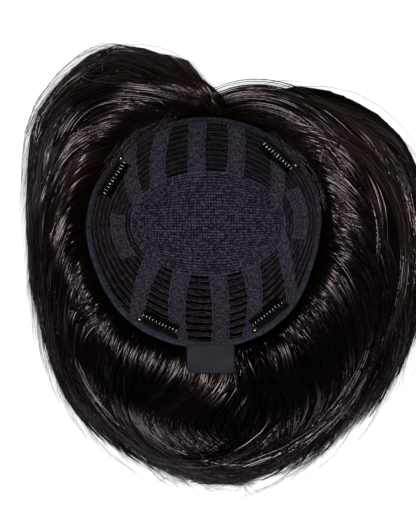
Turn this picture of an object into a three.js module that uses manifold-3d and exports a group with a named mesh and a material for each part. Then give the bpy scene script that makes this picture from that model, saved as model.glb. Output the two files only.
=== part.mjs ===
// A hair topper lying crown down: a round wefted cap, open side up, with a dark bob spread round it.
// Millimetres, +Z up. The origin is on the table under the middle of the cap, +Y points to the front
// hairline and -Y to the nape edge, where the label is sewn in.
import * as THREE from "three";
import { mergeVertices } from "three/addons/utils/BufferGeometryUtils.js";
import Module from "manifold-3d";

const wasm = await Module();
wasm.setup();

// Driving dimensions. A depth in the cap wall is measured from its inner face, away from the head.
const CAP = { halfWidth: 82, halfLength: 78, crownZ: 11, depth: 36, fullness: 0.86, segments: 36 };
const PANEL = { halfWidth: 53, halfLength: 36, x: 1.5, y: 6.5, wall: 1.2 };
const STRAP = { width: 12.5, sideWidth: 10, wall: 0.9, start: 0.03, end: 0.87, steps: 5 };
const WEFT = { rows: 9, first: 0.07, last: 0.83, height: 0.05, inner: 1.3, outer: 2.4 };
const BINDING = { start: 0.89, lip: 1.02, inner: -0.6, middle: 1.1, outer: 2.75 };
const CLIP = { length: 32, bar: 4.2, plate: 0.8, teeth: 11, pitch: 2.5, tooth: 1.1, lift: 2.8, rivet: 13.6 };
const LABEL = { width: 33, length: 20, ply: 1, x: 3.2, gap: 0.4, steps: 4 };
const HAIR = { clearance: 3.1, sides: 7, steps: 7, smallest: 0.34, finest: 0.06, clearHeight: 120 };

// Straps of lace tape. Out straps run from the panel's edge to the binding, round ones along the side
// wall. Angles are in degrees from +X, and row is the share of the way from the panel to the rim.
const STRAPS_OUT = [
  { name: "strap_front_1", panelAngle: 156, rimAngle: 131 },
  { name: "strap_front_2", panelAngle: 134, rimAngle: 111 },
  { name: "strap_front_3", panelAngle: 98.5, rimAngle: 94 },
  { name: "strap_front_4", panelAngle: 64, rimAngle: 75 },
  { name: "strap_front_5", panelAngle: 25, rimAngle: 55 },
  { name: "strap_back_1", panelAngle: 207.5, rimAngle: 233 },
  { name: "strap_back_2", panelAngle: 239.5, rimAngle: 257 },
  { name: "strap_back_3", panelAngle: 285, rimAngle: 277 },
  { name: "strap_back_4", panelAngle: 322.5, rimAngle: 292 },
  { name: "strap_back_5", panelAngle: 356, rimAngle: 320 },
];
const STRAPS_ROUND = [
  { name: "strap_side_left", fromAngle: 168, toAngle: 198, row: 0.33 },
  { name: "strap_side_right", fromAngle: 27, toAngle: -4, row: 0.47 },
];

// Comb clips: where the middle of each bar lies on the binding.
const CLIPS = [
  { name: "front_left", angle: 149, row: 0.95 },
  { name: "front_right", angle: 47, row: 0.95 },
  { name: "back_left", angle: 243, row: 0.95 },
  { name: "back_right", angle: 307, row: 0.95 },
];

// One tooth of a clip, seen from its side: how far it reaches and how high its arch stands there.
const TOOTH_ARCH = [
  { reach: 1.4, rise: 0.05 },
  { reach: 5, rise: 1.9 },
  { reach: 9.8, rise: 0.3 },
];

// The hair's outline, as its distance from the middle of the cap: the right side, the right front corner,
// the parting, the left front lobe and its shoulder, the left side, the left back, the nape tip and the
// right back.
const OUTLINE = [
  { angle: 0, radius: 154 },
  { angle: 30, radius: 152 },
  { angle: 78, radius: 102 },
  { angle: 122, radius: 149 },
  { angle: 150, radius: 142 },
  { angle: 190, radius: 128 },
  { angle: 225, radius: 148 },
  { angle: 272, radius: 178 },
  { angle: 315, radius: 168 },
  { angle: 360, radius: 154 },
];

// How the hair sweeps from the parting round both sides to the nape tip: a lock rooted at this angle
// swings this far round the cap, and a larger turn keeps it straight for longer before it swings. Reach
// is a share of the outline's distance, less where locks lie along the outline than where they point at it.
const FLOW = [
  { root: -86, swing: 0, turn: 1.8, reach: 1 },
  { root: -60, swing: -21, turn: 1.8, reach: 0.97 },
  { root: -30, swing: -44, turn: 1.8, reach: 0.96 },
  { root: 10, swing: -60, turn: 1.6, reach: 0.95 },
  { root: 45, swing: -60, turn: 1.4, reach: 0.96 },
  { root: 79, swing: -66, turn: 1.6, reach: 0.98 },
  { root: 81, swing: 64, turn: 1.7, reach: 0.98 },
  { root: 120, swing: 64, turn: 1.5, reach: 0.95 },
  { root: 160, swing: 64, turn: 1.5, reach: 0.92 },
  { root: 200, swing: 56, turn: 1.7, reach: 0.93 },
  { root: 240, swing: 29, turn: 1.8, reach: 0.96 },
  { root: 274, swing: 0, turn: 1.8, reach: 1 },
];

// The two layers of locks. Start is a share of the rim's distance. Heights are of a lock's middle at its
// root, at the control point that lifts it and at its tip.
const LAYERS = [
  { locks: 18, first: -86, start: 0.72, reach: 1, rootZ: 10, liftZ: 12, tipZ: 4, width: 52, depth: 25 },
  { locks: 20, first: -77, start: 1, reach: 0.94, rootZ: 33, liftZ: 45, tipZ: 13, width: 40, depth: 27 },
];
// Neighbouring locks differ a little in length and height.
const LOCK_VARIETY = [
  { reach: 1, lift: 0 },
  { reach: 0.97, lift: 3 },
  { reach: 1.01, lift: -2 },
  { reach: 0.98, lift: 2 },
  { reach: 1, lift: -1 },
];

// The hair's backing round the cap: how far out it stands at each height.
const BACKING = [
  { z: 0, share: 0.66 },
  { z: 10, share: 0.88 },
  { z: 22, share: 1.02 },
  { z: 34, share: 1.1 },
  { z: 41, share: 1.07 },
];

const rad = THREE.MathUtils.degToRad;
const lerp = THREE.MathUtils.lerp;

// The two rows of a table that a value lies between, and how far it is from the first to the second.
function between(rows, column, value) {
  const next = Math.max(1, rows.findIndex((row) => row[column] >= value));
  const [low, high] = [rows[next - 1], rows[next]];
  return { low, high, share: (value - low[column]) / (high[column] - low[column]) };
}

// Distances from the middle of the cap, along a direction

function rimRadius(angle) {
  return 1 / Math.hypot(Math.cos(angle) / CAP.halfWidth, Math.sin(angle) / CAP.halfLength);
}

function panelRadius(angle) {
  const alongX = Math.cos(angle) / PANEL.halfWidth;
  const alongY = Math.sin(angle) / PANEL.halfLength;
  const middleX = PANEL.x / PANEL.halfWidth;
  const middleY = PANEL.y / PANEL.halfLength;
  const square = alongX ** 2 + alongY ** 2;
  const half = alongX * middleX + alongY * middleY;
  return (half + Math.sqrt(half ** 2 - square * (middleX ** 2 + middleY ** 2 - 1))) / square;
}

function outlineRadius(angle) {
  const degrees = THREE.MathUtils.euclideanModulo(THREE.MathUtils.radToDeg(angle), 360);
  const { low, high, share } = between(OUTLINE, "angle", degrees);
  return lerp(low.radius, high.radius, share * share * (3 - 2 * share));
}

// The cap's surface

function capHeight(share) {
  const bow = (s) => 1 - Math.sqrt(1 - (CAP.fullness * s) ** 2);
  return CAP.crownZ + (CAP.depth * bow(share)) / bow(1);
}

function capSpot(angle, share) {
  const radius = rimRadius(angle) * share;
  return new THREE.Vector3(radius * Math.cos(angle), radius * Math.sin(angle), capHeight(share));
}

// The direction out of the cap's wall, away from the head.
function capOutward(angle, share) {
  const small = 1e-3;
  const safe = Math.max(share, small);
  const across = capSpot(angle, safe + small).sub(capSpot(angle, safe - small));
  const round = capSpot(angle + small, safe).sub(capSpot(angle - small, safe));
  return across.cross(round).normalize().negate();
}

function capPoint(angle, share, depth) {
  return capSpot(angle, share).addScaledVector(capOutward(angle, share), depth);
}

function rowShare(angle, row) {
  return lerp(panelRadius(angle) / rimRadius(angle), 1, row);
}

function rowPoint(angle, row, depth) {
  return capPoint(angle, rowShare(angle, row), depth);
}

// Closed forms, made by moving the points of three.js shapes

function signedVolume(geometry) {
  const position = geometry.getAttribute("position");
  const index = geometry.index.array;
  const [a, b, c] = [new THREE.Vector3(), new THREE.Vector3(), new THREE.Vector3()];
  let sum = 0;
  for (let i = 0; i < index.length; i += 3) {
    a.fromBufferAttribute(position, index[i]);
    b.fromBufferAttribute(position, index[i + 1]);
    c.fromBufferAttribute(position, index[i + 2]);
    sum += a.dot(b.cross(c)) / 6;
  }
  return sum;
}

function closed(form) {
  const bare = new THREE.BufferGeometry();
  bare.setAttribute("position", form.getAttribute("position"));
  bare.setIndex(form.index ?? [...Array(form.getAttribute("position").count).keys()]);
  const merged = mergeVertices(bare, 1e-4);
  if (signedVolume(merged) < 0) merged.index.array.reverse();
  merged.computeVertexNormals();
  return merged;
}

function moved(form, place) {
  const position = form.getAttribute("position");
  for (let i = 0; i < position.count; i++) {
    const spot = place(i);
    position.setXYZ(i, spot.x, spot.y, spot.z);
  }
  return closed(form);
}

// A tube with closed ends. Around is an angle, along runs from 0 to 1, and out is 1 on the wall and 0 at
// the middle of an end.
function tube(sides, steps, place) {
  const form = new THREE.CylinderGeometry(1, 1, 1, sides, steps);
  const from = form.getAttribute("position").clone();
  return moved(form, (i) => {
    const [x, y, z] = [from.getX(i), from.getY(i), from.getZ(i)];
    return place(Math.atan2(x, z), y + 0.5, Math.hypot(x, z));
  });
}

// A tube whose section has corners: place(corner, along) gives the place of each.
function corneredTube(corners, steps, place) {
  const turn = (2 * Math.PI) / corners;
  return tube(corners, steps, (around, along, out) => {
    if (out > 0.5) return place(THREE.MathUtils.euclideanModulo(Math.round(around / turn), corners), along);
    const middle = new THREE.Vector3();
    for (let corner = 0; corner < corners; corner++) middle.addScaledVector(place(corner, along), 1 / corners);
    return middle;
  });
}

// A closed loop round the cap with a cornered section: place(angle, corner) gives the place of each.
function hoop(corners, place) {
  const form = new THREE.TorusGeometry(2, 1, corners, CAP.segments);
  const uv = form.getAttribute("uv").clone();
  return moved(form, (i) => place(uv.getX(i) * 2 * Math.PI, Math.round(uv.getY(i) * corners) % corners));
}

// A round form with its axis on Z, through stations from its first middle to its last.
function rounded(stations, place) {
  const last = stations.length - 1;
  return tube(CAP.segments, last, (around, along, out) => place(stations[Math.round(along * last)], around, out));
}

function solid(geometry) {
  const vertProperties = geometry.getAttribute("position").array;
  return new wasm.Manifold(
    new wasm.Mesh({ numProp: 3, vertProperties, triVerts: new Uint32Array(geometry.index.array) }),
  );
}

function geometryOf(body) {
  const { vertProperties, triVerts } = body.getMesh();
  const made = new THREE.BufferGeometry();
  made.setAttribute("position", new THREE.BufferAttribute(vertProperties, 3));
  made.setIndex(new THREE.BufferAttribute(triVerts, 1));
  made.computeVertexNormals();
  return made;
}

// Finishes

const FINISH = {
  knit: new THREE.MeshStandardMaterial({ color: 0x2a2634, roughness: 0.95 }),
  lace: new THREE.MeshStandardMaterial({ color: 0x2c2836, roughness: 0.9 }),
  weft: new THREE.MeshStandardMaterial({ color: 0x161213, roughness: 0.7 }),
  binding: new THREE.MeshStandardMaterial({ color: 0x2b2737, roughness: 0.85 }),
  steel: new THREE.MeshStandardMaterial({ color: 0x0b0b0c, roughness: 0.3, metalness: 0.9 }),
  brass: new THREE.MeshStandardMaterial({ color: 0xb08d4a, roughness: 0.3, metalness: 1 }),
  label: new THREE.MeshStandardMaterial({ color: 0x2f2e38, roughness: 0.5 }),
  hair: new THREE.MeshStandardMaterial({ color: 0x1a1413, roughness: 0.4 }),
};

const topper = new THREE.Group();

function add(name, geometry, finish, parent = topper) {
  const mesh = new THREE.Mesh(geometry, finish);
  mesh.name = name;
  parent.add(mesh);
  return mesh;
}

// Cap

function crownPanel() {
  const shares = [0.25, 0.5, 0.75, 1];
  const inner = shares.map((share) => ({ share, depth: 0 }));
  const outer = shares.map((share) => ({ share, depth: PANEL.wall })).reverse();
  return rounded([...inner, ...outer], ({ share, depth }, angle, out) => {
    const edge = panelRadius(angle) / rimRadius(angle);
    return capPoint(angle, edge * share * out, depth);
  });
}

// Corners run round the section: both long edges on the inner face, then both on the outer face.
const stripSide = (corner) => (corner === 0 || corner === 3 ? -1 : 1);
const stripDepth = (corner) => (corner < 2 ? 0 : STRAP.wall);

function strapOut({ panelAngle, rimAngle }) {
  return corneredTube(4, STRAP.steps, (corner, along) => {
    const row = lerp(STRAP.start, STRAP.end, along);
    const middle = rad(lerp(panelAngle, rimAngle, row));
    const radius = rowShare(middle, row) * rimRadius(middle);
    const angle = middle + (stripSide(corner) * STRAP.width) / 2 / radius;
    return rowPoint(angle, row, stripDepth(corner));
  });
}

function strapRound({ fromAngle, toAngle, row }) {
  return corneredTube(4, STRAP.steps, (corner, along) => {
    const angle = rad(lerp(fromAngle, toAngle, along));
    const reach = rimRadius(angle) - panelRadius(angle);
    const side = (stripSide(corner) * STRAP.sideWidth) / 2 / reach;
    return rowPoint(angle, row + side, stripDepth(corner));
  });
}

function weftRow(row) {
  const section = [
    { row: row - WEFT.height / 2, depth: WEFT.inner },
    { row: row + WEFT.height / 2, depth: WEFT.inner },
    { row: row + WEFT.height / 2, depth: WEFT.outer },
    { row: row - WEFT.height / 2, depth: WEFT.outer },
  ];
  return hoop(section.length, (angle, corner) => rowPoint(angle, section[corner].row, section[corner].depth));
}

function edgeBinding() {
  const section = [
    { row: BINDING.start, depth: BINDING.inner },
    { row: 1, depth: BINDING.inner },
    { row: BINDING.lip, depth: BINDING.middle },
    { row: 1, depth: BINDING.outer },
    { row: BINDING.start, depth: BINDING.outer },
  ];
  return hoop(section.length, (angle, corner) => rowPoint(angle, section[corner].row, section[corner].depth));
}

add("crown_panel", crownPanel(), FINISH.knit);
STRAPS_OUT.forEach((strap) => add(strap.name, strapOut(strap), FINISH.lace));
STRAPS_ROUND.forEach((strap) => add(strap.name, strapRound(strap), FINISH.lace));
for (let i = 0; i < WEFT.rows; i++) {
  const row = lerp(WEFT.first, WEFT.last, i / (WEFT.rows - 1));
  add(`weft_row_${i + 1}`, weftRow(row), FINISH.weft);
}
add("edge_binding", edgeBinding(), FINISH.binding);

// Comb clips. In a clip's own frame X runs along the bar, Y to the teeth's tips and Z to the head.

function clipBar() {
  const end = CLIP.length / 2 - CLIP.bar / 2;
  const outline = new THREE.Shape();
  outline.absarc(end, 0, CLIP.bar / 2, -Math.PI / 2, Math.PI / 2, false);
  outline.absarc(-end, 0, CLIP.bar / 2, Math.PI / 2, (3 * Math.PI) / 2, false);
  const hole = new THREE.Path();
  hole.absarc(-CLIP.rivet, 0, 1.1, 0, 2 * Math.PI, true);
  outline.holes.push(hole);
  return closed(new THREE.ExtrudeGeometry(outline, { depth: CLIP.plate, bevelEnabled: false, curveSegments: 3 }));
}

function clipTooth(x) {
  const top = TOOTH_ARCH.map(({ reach, rise }) => new THREE.Vector2(reach, rise + CLIP.plate));
  const bottom = TOOTH_ARCH.map(({ reach, rise }) => new THREE.Vector2(reach, rise)).reverse();
  const side = new THREE.Shape([...bottom, ...top]);
  const form = new THREE.ExtrudeGeometry(side, { depth: CLIP.tooth, bevelEnabled: false });
  // The side view is drawn in X and Y and pulled along Z: turn it so that it stands along Y and Z.
  form.applyMatrix4(new THREE.Matrix4().set(0, 0, 1, x - CLIP.tooth / 2, 1, 0, 0, 0, 0, 1, 0, 0, 0, 0, 0, 1));
  return closed(form);
}

function clipPlate() {
  let plate = solid(clipBar());
  for (let i = 0; i < CLIP.teeth; i++) {
    plate = plate.add(solid(clipTooth((i - (CLIP.teeth - 1) / 2) * CLIP.pitch)));
  }
  return geometryOf(plate);
}

function clipRivet() {
  const profile = [
    [0, -0.5],
    [0.75, -0.5],
    [0.75, CLIP.plate + 0.3],
    [1.6, CLIP.plate + 0.3],
    [1.1, CLIP.plate + 1],
    [0, CLIP.plate + 1.1],
  ];
  const form = new THREE.LatheGeometry(profile.map(([r, z]) => new THREE.Vector2(r, z)), 8);
  form.rotateX(Math.PI / 2);
  return closed(form).translate(-CLIP.rivet, 0, 0);
}

CLIPS.forEach(({ name, angle, row }) => {
  const turn = rad(angle);
  const inward = capOutward(turn, rowShare(turn, row)).negate();
  const toCrown = rowPoint(turn, row - 0.1, 0).sub(rowPoint(turn, row, 0));
  toCrown.addScaledVector(inward, -toCrown.dot(inward)).normalize();
  const along = toCrown.clone().cross(inward);
  const clip = new THREE.Group();
  clip.position.copy(rowPoint(turn, row, -CLIP.lift));
  clip.quaternion.setFromRotationMatrix(new THREE.Matrix4().makeBasis(along, toCrown, inward));
  topper.add(clip);
  add(`clip_${name}`, clipPlate(), FINISH.steel, clip);
  add(`rivet_${name}`, clipRivet(), FINISH.brass, clip);
});

// Label: a bare folded tab that leaves the outer face of the binding and lies back on the hair.

function labelMiddle(along) {
  const root = rowPoint(rad(270), 1, BINDING.outer + LABEL.gap);
  return { y: root.y - LABEL.length * along, z: root.z + 3 * Math.sin(Math.PI * along * 0.8) };
}

function labelTab() {
  return corneredTube(4, LABEL.steps, (corner, along) => {
    const { y, z } = labelMiddle(along);
    const lift = corner < 2 ? 0 : LABEL.ply;
    return new THREE.Vector3(LABEL.x + (stripSide(corner) * LABEL.width) / 2, y, z + lift);
  });
}

// The room that the label takes out of the hair, from just under the tab upwards.
function labelRoom() {
  const spare = 1;
  return corneredTube(4, LABEL.steps, (corner, along) => {
    const { y, z } = labelMiddle(along * 1.1 - 0.05);
    const side = (stripSide(corner) * (LABEL.width + 2 * spare)) / 2;
    return new THREE.Vector3(LABEL.x + side, y, corner < 2 ? z - spare : HAIR.clearHeight);
  });
}

add("label", labelTab(), FINISH.label);

// Hair

function flowAt(root, column) {
  const { low, high, share } = between(FLOW, "root", root);
  return lerp(low[column], high[column], share);
}

function lockPoint(lock, along) {
  const angle = rad(lock.root + flowAt(lock.root, "swing") * along ** flowAt(lock.root, "turn"));
  const start = rimRadius(angle) * lock.start;
  const radius = lerp(start, outlineRadius(angle) * lock.reach, Math.sin((along * Math.PI) / 2));
  const z = (1 - along) ** 2 * lock.rootZ + 2 * along * (1 - along) * lock.liftZ + along ** 2 * lock.tipZ;
  return new THREE.Vector3(radius * Math.cos(angle), radius * Math.sin(angle), z);
}

function hairLock(lock) {
  const up = new THREE.Vector3(0, 0, 1);
  return tube(HAIR.sides, HAIR.steps, (around, along, out) => {
    const ahead = lockPoint(lock, along + 0.01).sub(lockPoint(lock, along - 0.01 * (along > 0)));
    const side = ahead.cross(up).normalize();
    const taper = out * Math.sin(Math.PI * lerp(0.2, 0.95, along));
    return lockPoint(lock, along)
      .addScaledVector(side, (Math.cos(around) * taper * lock.width) / 2)
      .addScaledVector(up, (Math.sin(around) * taper * lock.depth) / 2);
  });
}

function hairLocks() {
  return LAYERS.flatMap((layer) =>
    Array.from({ length: layer.locks }, (_, i) => {
      const variety = LOCK_VARIETY[i % LOCK_VARIETY.length];
      const root = layer.first + (360 * i) / layer.locks;
      const reach = layer.reach * variety.reach * flowAt(root, "reach");
      return hairLock({ ...layer, root, reach, liftZ: layer.liftZ + variety.lift });
    }),
  );
}

function hairBacking() {
  return rounded(BACKING, ({ z, share }, angle, out) => {
    const radius = rimRadius(angle) * share * out;
    return new THREE.Vector3(radius * Math.cos(angle), radius * Math.sin(angle), z);
  });
}

// The cap with a little room round it, carried up past the hair.
function capRoom() {
  const shares = [0.25, 0.5, 0.7, 0.82, 0.91, 0.96, 1, 1.04];
  const top = { share: 1.04, top: true };
  return rounded([...shares.map((share) => ({ share })), top], (station, angle, out) => {
    const spot = capPoint(angle, station.share * out, HAIR.clearance);
    return station.top ? spot.setZ(HAIR.clearHeight) : spot;
  });
}

function aboveTable() {
  const size = 600;
  return closed(new THREE.BoxGeometry(size, size, size).translate(0, 0, size / 2));
}

function hair() {
  let body = solid(hairBacking());
  hairLocks().forEach((lock) => {
    body = body.add(solid(lock));
  });
  body = body.asOriginal().simplify(HAIR.smallest).intersect(solid(aboveTable()));
  body = body.subtract(solid(capRoom())).subtract(solid(labelRoom())).asOriginal().simplify(HAIR.finest);
  // Small pockets shut in between locks are left filled.
  const [outside] = body.decompose().sort((a, b) => b.volume() - a.volume());
  return geometryOf(outside);
}

add("hair", hair(), FINISH.hair);

export default topper;
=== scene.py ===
"""Looks of the hair topper: a wefted cloth cap with comb clips, and a dark bob combed out round it."""

import math

import bmesh
import bpy
import numpy as np
from bpy.props import FloatProperty, FloatVectorProperty, IntProperty, PointerProperty
from mathutils import Matrix, Vector


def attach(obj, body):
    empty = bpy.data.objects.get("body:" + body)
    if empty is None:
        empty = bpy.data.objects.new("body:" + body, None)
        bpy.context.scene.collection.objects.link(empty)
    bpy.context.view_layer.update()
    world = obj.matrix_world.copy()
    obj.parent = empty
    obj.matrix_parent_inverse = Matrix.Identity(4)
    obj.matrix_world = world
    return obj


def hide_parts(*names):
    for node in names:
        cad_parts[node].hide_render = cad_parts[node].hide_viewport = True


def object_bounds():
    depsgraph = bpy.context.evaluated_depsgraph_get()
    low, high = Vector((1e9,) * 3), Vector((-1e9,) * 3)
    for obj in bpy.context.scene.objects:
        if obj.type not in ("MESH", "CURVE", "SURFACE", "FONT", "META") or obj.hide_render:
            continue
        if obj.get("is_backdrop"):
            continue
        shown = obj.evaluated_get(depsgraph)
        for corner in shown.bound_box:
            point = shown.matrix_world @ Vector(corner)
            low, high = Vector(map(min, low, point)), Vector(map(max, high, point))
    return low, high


bl_info = {
    "name": "Hair Topper",
    "version": (1, 0, 0),
    "blender": (4, 5, 0),
    "location": "View3D > Sidebar > Topper",
    "description": "Dresses the hair topper: knit crown, lace straps, weft rows, comb clips and hair",
    "category": "Object",
}

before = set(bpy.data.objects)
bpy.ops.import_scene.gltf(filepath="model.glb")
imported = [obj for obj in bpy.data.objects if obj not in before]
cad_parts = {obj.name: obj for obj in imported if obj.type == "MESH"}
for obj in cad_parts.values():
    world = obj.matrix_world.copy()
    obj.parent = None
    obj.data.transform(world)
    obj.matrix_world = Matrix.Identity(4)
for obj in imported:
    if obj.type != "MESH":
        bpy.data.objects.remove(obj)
CAD_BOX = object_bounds()

MM = 0.001
TURN = 2 * math.pi

# The point on the table that the camera looks down on, and the softbox's place and size, in metres.
AIM = (1.4 * MM, -18.9 * MM)
SOFTBOX_AT = (-0.05, 0.08, 2.2)
SOFTBOX_SIZE = 0.45
TABLE_RADIUS = 6

# Lace straps from the panel to the binding: where each leaves the panel and meets the rim, in degrees.
STRAPS_OUT = (
    ("front_1", 156, 131),
    ("front_2", 134, 111),
    ("front_3", 98.5, 94),
    ("front_4", 64, 75),
    ("front_5", 25, 55),
    ("back_1", 207.5, 233),
    ("back_2", 239.5, 257),
    ("back_3", 285, 277),
    ("back_4", 322.5, 292),
    ("back_5", 356, 320),
)
# Lace straps along the side walls: from and to in degrees, and the share of the way from panel to rim.
STRAPS_ROUND = (
    ("side_left", 168, 198, 0.33),
    ("side_right", 27, -4, 0.47),
)
STRAP_ROWS = (-0.01, 0.95)
# Cords along the lace and rings in each lobe: share of the half width, radius in millimetres, points round a
# ring, and shade.
LACE_CORDS = ((0.96, 0.36, 0.5), (0.7, 0.22, 0.35))
LACE_RINGS = ((0.58, 0.34, 18, 0.55), (0.25, 0.28, 10, 0.4))
# Spokes in each lobe, their points as shares of the half width, and loose flecks for each lobe.
SPOKES = 6
SPOKE_POINTS = (0.25, 0.42, 0.58)
FLECKS = 40
# How thick the cloth pieces are.
KNIT_WALL = 0.6 * MM
LACE_WALL = 0.35 * MM
LABEL_WALL = 0.7 * MM
# Numbers that set the variety of the lace and of the weft.
LACE_SEED = 3
WEFT_SEED = 5

# Weft rows from the first to the last, as shares of the way from panel to rim.
WEFT_SPAN = (0.07, 0.83)
# Cords of a weft row: shift along the wall as a share, depth and how much deeper at the nape, and radius, in
# millimetres.
WEFT_CORDS = ((-0.013, 1.75, 0, 0.42), (0.012, 1.75, 0, 0.42), (0.045, 2.0, 1.2, 0.24))

# Comb clips: where the middle of each bar lies on the binding, in degrees.
CLIPS = (("front_left", 149), ("front_right", 47), ("back_left", 243), ("back_right", 307))
CLIP_ROW = 0.95

# Where the soft rim is bent in: angle and width in degrees, and how far in millimetres.
RIM_DENTS = ((-14, 27, 6), (200, 20, 2.5))

# The hair's outline: degrees round the cap and millimetres from its middle.
OUTLINE = (
    (0, 154),
    (25, 150),
    (40, 140),
    (79, 101),
    (99, 128),
    (118, 147),
    (145, 142),
    (165, 127),
    (185, 123),
    (205, 130),
    (240, 158),
    (275, 176),
    (310, 170),
    (345, 157),
    (360, 154),
)
# How hair runs from its root: degrees of root and swing, how late it swings, and its share of the outline.
FLOW = (
    (-86, 0, 1.8, 1),
    (-60, -21, 1.8, 0.97),
    (-30, -44, 1.8, 0.98),
    (10, -60, 1.6, 0.99),
    (45, -60, 1.4, 1.0),
    (79, -66, 1.6, 1.0),
    (81, 64, 1.7, 0.98),
    (120, 64, 1.5, 0.95),
    (160, 64, 1.5, 0.92),
    (200, 56, 1.7, 0.93),
    (240, 29, 1.8, 0.96),
    (274, 0, 1.8, 1),
)
FIRST_ROOT = FLOW[0][0]
# The long strands over the locks: degrees of root and swing, how late they swing, and how soon they are out.
SWEEP = (
    (-86, 0, 1.8, 1.0),
    (-60, -29, 1.8, 1.0),
    (-30, -52, 1.7, 1.0),
    (10, -66, 1.3, 0.98),
    (45, -82, 0.95, 0.95),
    (79, -112, 1.5, 1.6),
    (81, 110, 1.5, 1.6),
    (120, 82, 1.2, 0.98),
    (160, 66, 1.2, 0.98),
    (200, 57, 1.7, 1.0),
    (240, 35, 1.8, 1.0),
    (274, 0, 1.8, 1.0),
)

# Soft locks under the strands, two layers: count, first root in degrees, start as a share of the rim, reach,
# then heights at root, crest, shelf and tip, width and depth in millimetres.
LOCK_LAYERS = (
    (18, -86, 0.72, 0.96, 9, 10, 7, 3, 44, 18),
    (20, -77, 1.0, 0.86, 25, 33, 20, 8, 36, 18),
)
# Where hair crests and where it lies on its shelf again, as shares of the way from the rim to the outline.
CREST = 0.33
SHELF = 0.8
# The backing round the cap: height in millimetres and its share of the rim.
BACKING = ((1, 0.6), (10, 0.85), (22, 0.99), (33, 1.05), (38, 1.04))

# Layers of strands from the table up: name, strands, locks, their levels as shares of the hair's height, the
# roots they cover in degrees, how much of the full sweep they take, and how thick they are.
STRAND_LAYERS = (
    ("under", 400, 26, (0.0, 0.35), (-86, 274), (0.7, 1.0), 2.0),
    ("middle", 500, 25, (0.4, 0.75), (-86, 274), (0.7, 1.0), 1.3),
    ("lobes", 260, 12, (0.1, 0.5), (20, 140), (0.7, 1.0), 1.6),
    ("front", 480, 9, (0.8, 0.96), (46, 114), (0.4, 1.0), 1.0),
    ("parting", 320, 6, (0.7, 0.94), (64, 98), (0.1, 0.6), 1.0),
    ("top_1", 1040, 27, (0.86, 0.93), (-86, 274), (0.8, 1.1), 1.1),
    ("top_2", 1040, 25, (0.9, 0.97), (-80, 280), (0.8, 1.1), 1.0),
    ("top_3", 1040, 23, (0.94, 1.0), (-72, 288), (0.8, 1.1), 0.9),
)
# How much each value changes from lock to lock, from clump to clump in a lock, and from strand to strand.
VARIETY = {
    "shift": (5.0, 2.0, 0.5),
    "rise": (2.0, 0.7, 0.6),
    "sway": (9.0, 2.0, 0.8),
    "roll": (0.3, 0.15, 0.26),
    "sweep": (0.06, 0.05, 0.0),
    "level": (0.01, 0.01, 0.02),
    "reach": (0.03, 0.02, 0.016),
    "shade": (0.18, 0.1, 0.14),
}
# Clumps in each lock.
CLUMPS = 5
# How brown locks are, from the nape to the parting.
LOCK_SHADES = (-0.12, 0.9)
# Layers that reach over this level lie on top and gleam.
TOP_LEVEL = 0.8
# Shares of the rim where the lowest and the highest strands start, and of the outline that they reach.
STARTS = (0.8, 1.037)
REACHES = (1, 0.95)
# Hair that swings between these degrees turns into side hair.
SIDE_SWING = (40, 80)
# How much shorter some top locks at the front are, and strands at the nape.
FRONT_CUT = 0.45
NAPE_CUT = 0.07
# How far out from the rim a strand is free of the cap.
FREE_FROM = 12 * MM
# How thin and how thick strands are beside the common thickness.
THICKNESSES = (0.55, 1.45)
# Heights of strands at the root, the crest, the shelf and the tip: those of the lowest and the highest layer,
# what the sides add, in millimetres, and how much of a lock's rise each takes.
STRAND_HEIGHTS = ((6, 38, -3, 0), (9, 46, 0, 0.8), (7, 31, 0, 1.3), (2, 16, 3, 0.4))
# Where strands crest: degrees round the cap, millimetres out from the rim, how much of a shelf follows, and
# how far they are tilted out of the light, as a slope.
RING = (
    (0, 18, 0, 0),
    (30, 17, 0, 0.25),
    (55, 22, 0, 0.4),
    (80, 18, 0, 0.4),
    (100, 20, 0, 0.5),
    (112, 18, 0, 0.4),
    (122, 26, 0, 0.3),
    (135, 22, 0, 1.1),
    (150, 20, 0, 0.7),
    (172, 22, 0, 0),
    (190, 18, 0, 0.3),
    (205, 17, 0.1, 0.15),
    (230, 17, 0.85, 0),
    (245, 15, 1, 0),
    (256, 13, 1, 0),
    (263, 15, 0.9, 0),
    (270, 24, 0.75, 0),
    (278, 30, 0.75, 0.05),
    (285, 13, 1, 0.1),
    (300, 12, 0.9, 0),
    (318, 15, 0.5, -0.05),
    (332, 19, 0.1, -0.05),
    (345, 21, 0, -0.05),
    (360, 18, 0, 0),
)
# Locks with a way of their own over the others: strands, width and lift in millimetres, how much further out
# they crest, then stations along each lock: millimetres out from the middle of the cap and degrees round it.
LOOSE_LOCKS = (
    (110, 24, 0.5, 4, ((88, 88), (96, 103), (107, 116), (118, 124), (124, 132), (126, 142), (124, 152))),
    (80, 24, 0.5, 2, ((88, 84), (96, 74), (103, 62), (106, 51), (109, 39), (113, 26), (120, 12))),
)
# Where the hair at the nape bends: degrees and millimetres out, how far the bend spreads in both, and the
# degrees that it pushes strands round.
BENDS = ((-88, 132, 17, 22, -15), (-66, 140, 14, 18, 4))
# Heights of the top strands at the root, the crest, the shelf and the tip, in millimetres.
TOP_HEIGHTS = (38, 46, 31, 17)
# Share of the rim where the top strands leave the cap.
STRAND_ROOT = 1.04
# Where the shelf at the nape lies, as a share of the way from the crest to the outline.
STRAND_SHELF = 0.64
# How steeply the strands at the front and sides fall at most.
STEEPEST = 0.9
# A strand's section: half width across, and up.
RIBBON = ((1, -0.1), (0, 0.17), (-1, -0.1))
# Loose strands over the binding: roots from and to in degrees, how far they turn, and how many.
FRINGE = ((90, 124, 44, 70), (36, 70, -44, 60))
FRINGE_RADIUS = 0.22 * MM
# Shares of the rim where they lie in the middle and at their ends.
FRINGE_MIDDLE = (0.98, 1.06)
FRINGE_ENDS = (1.12, 1.35)
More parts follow.
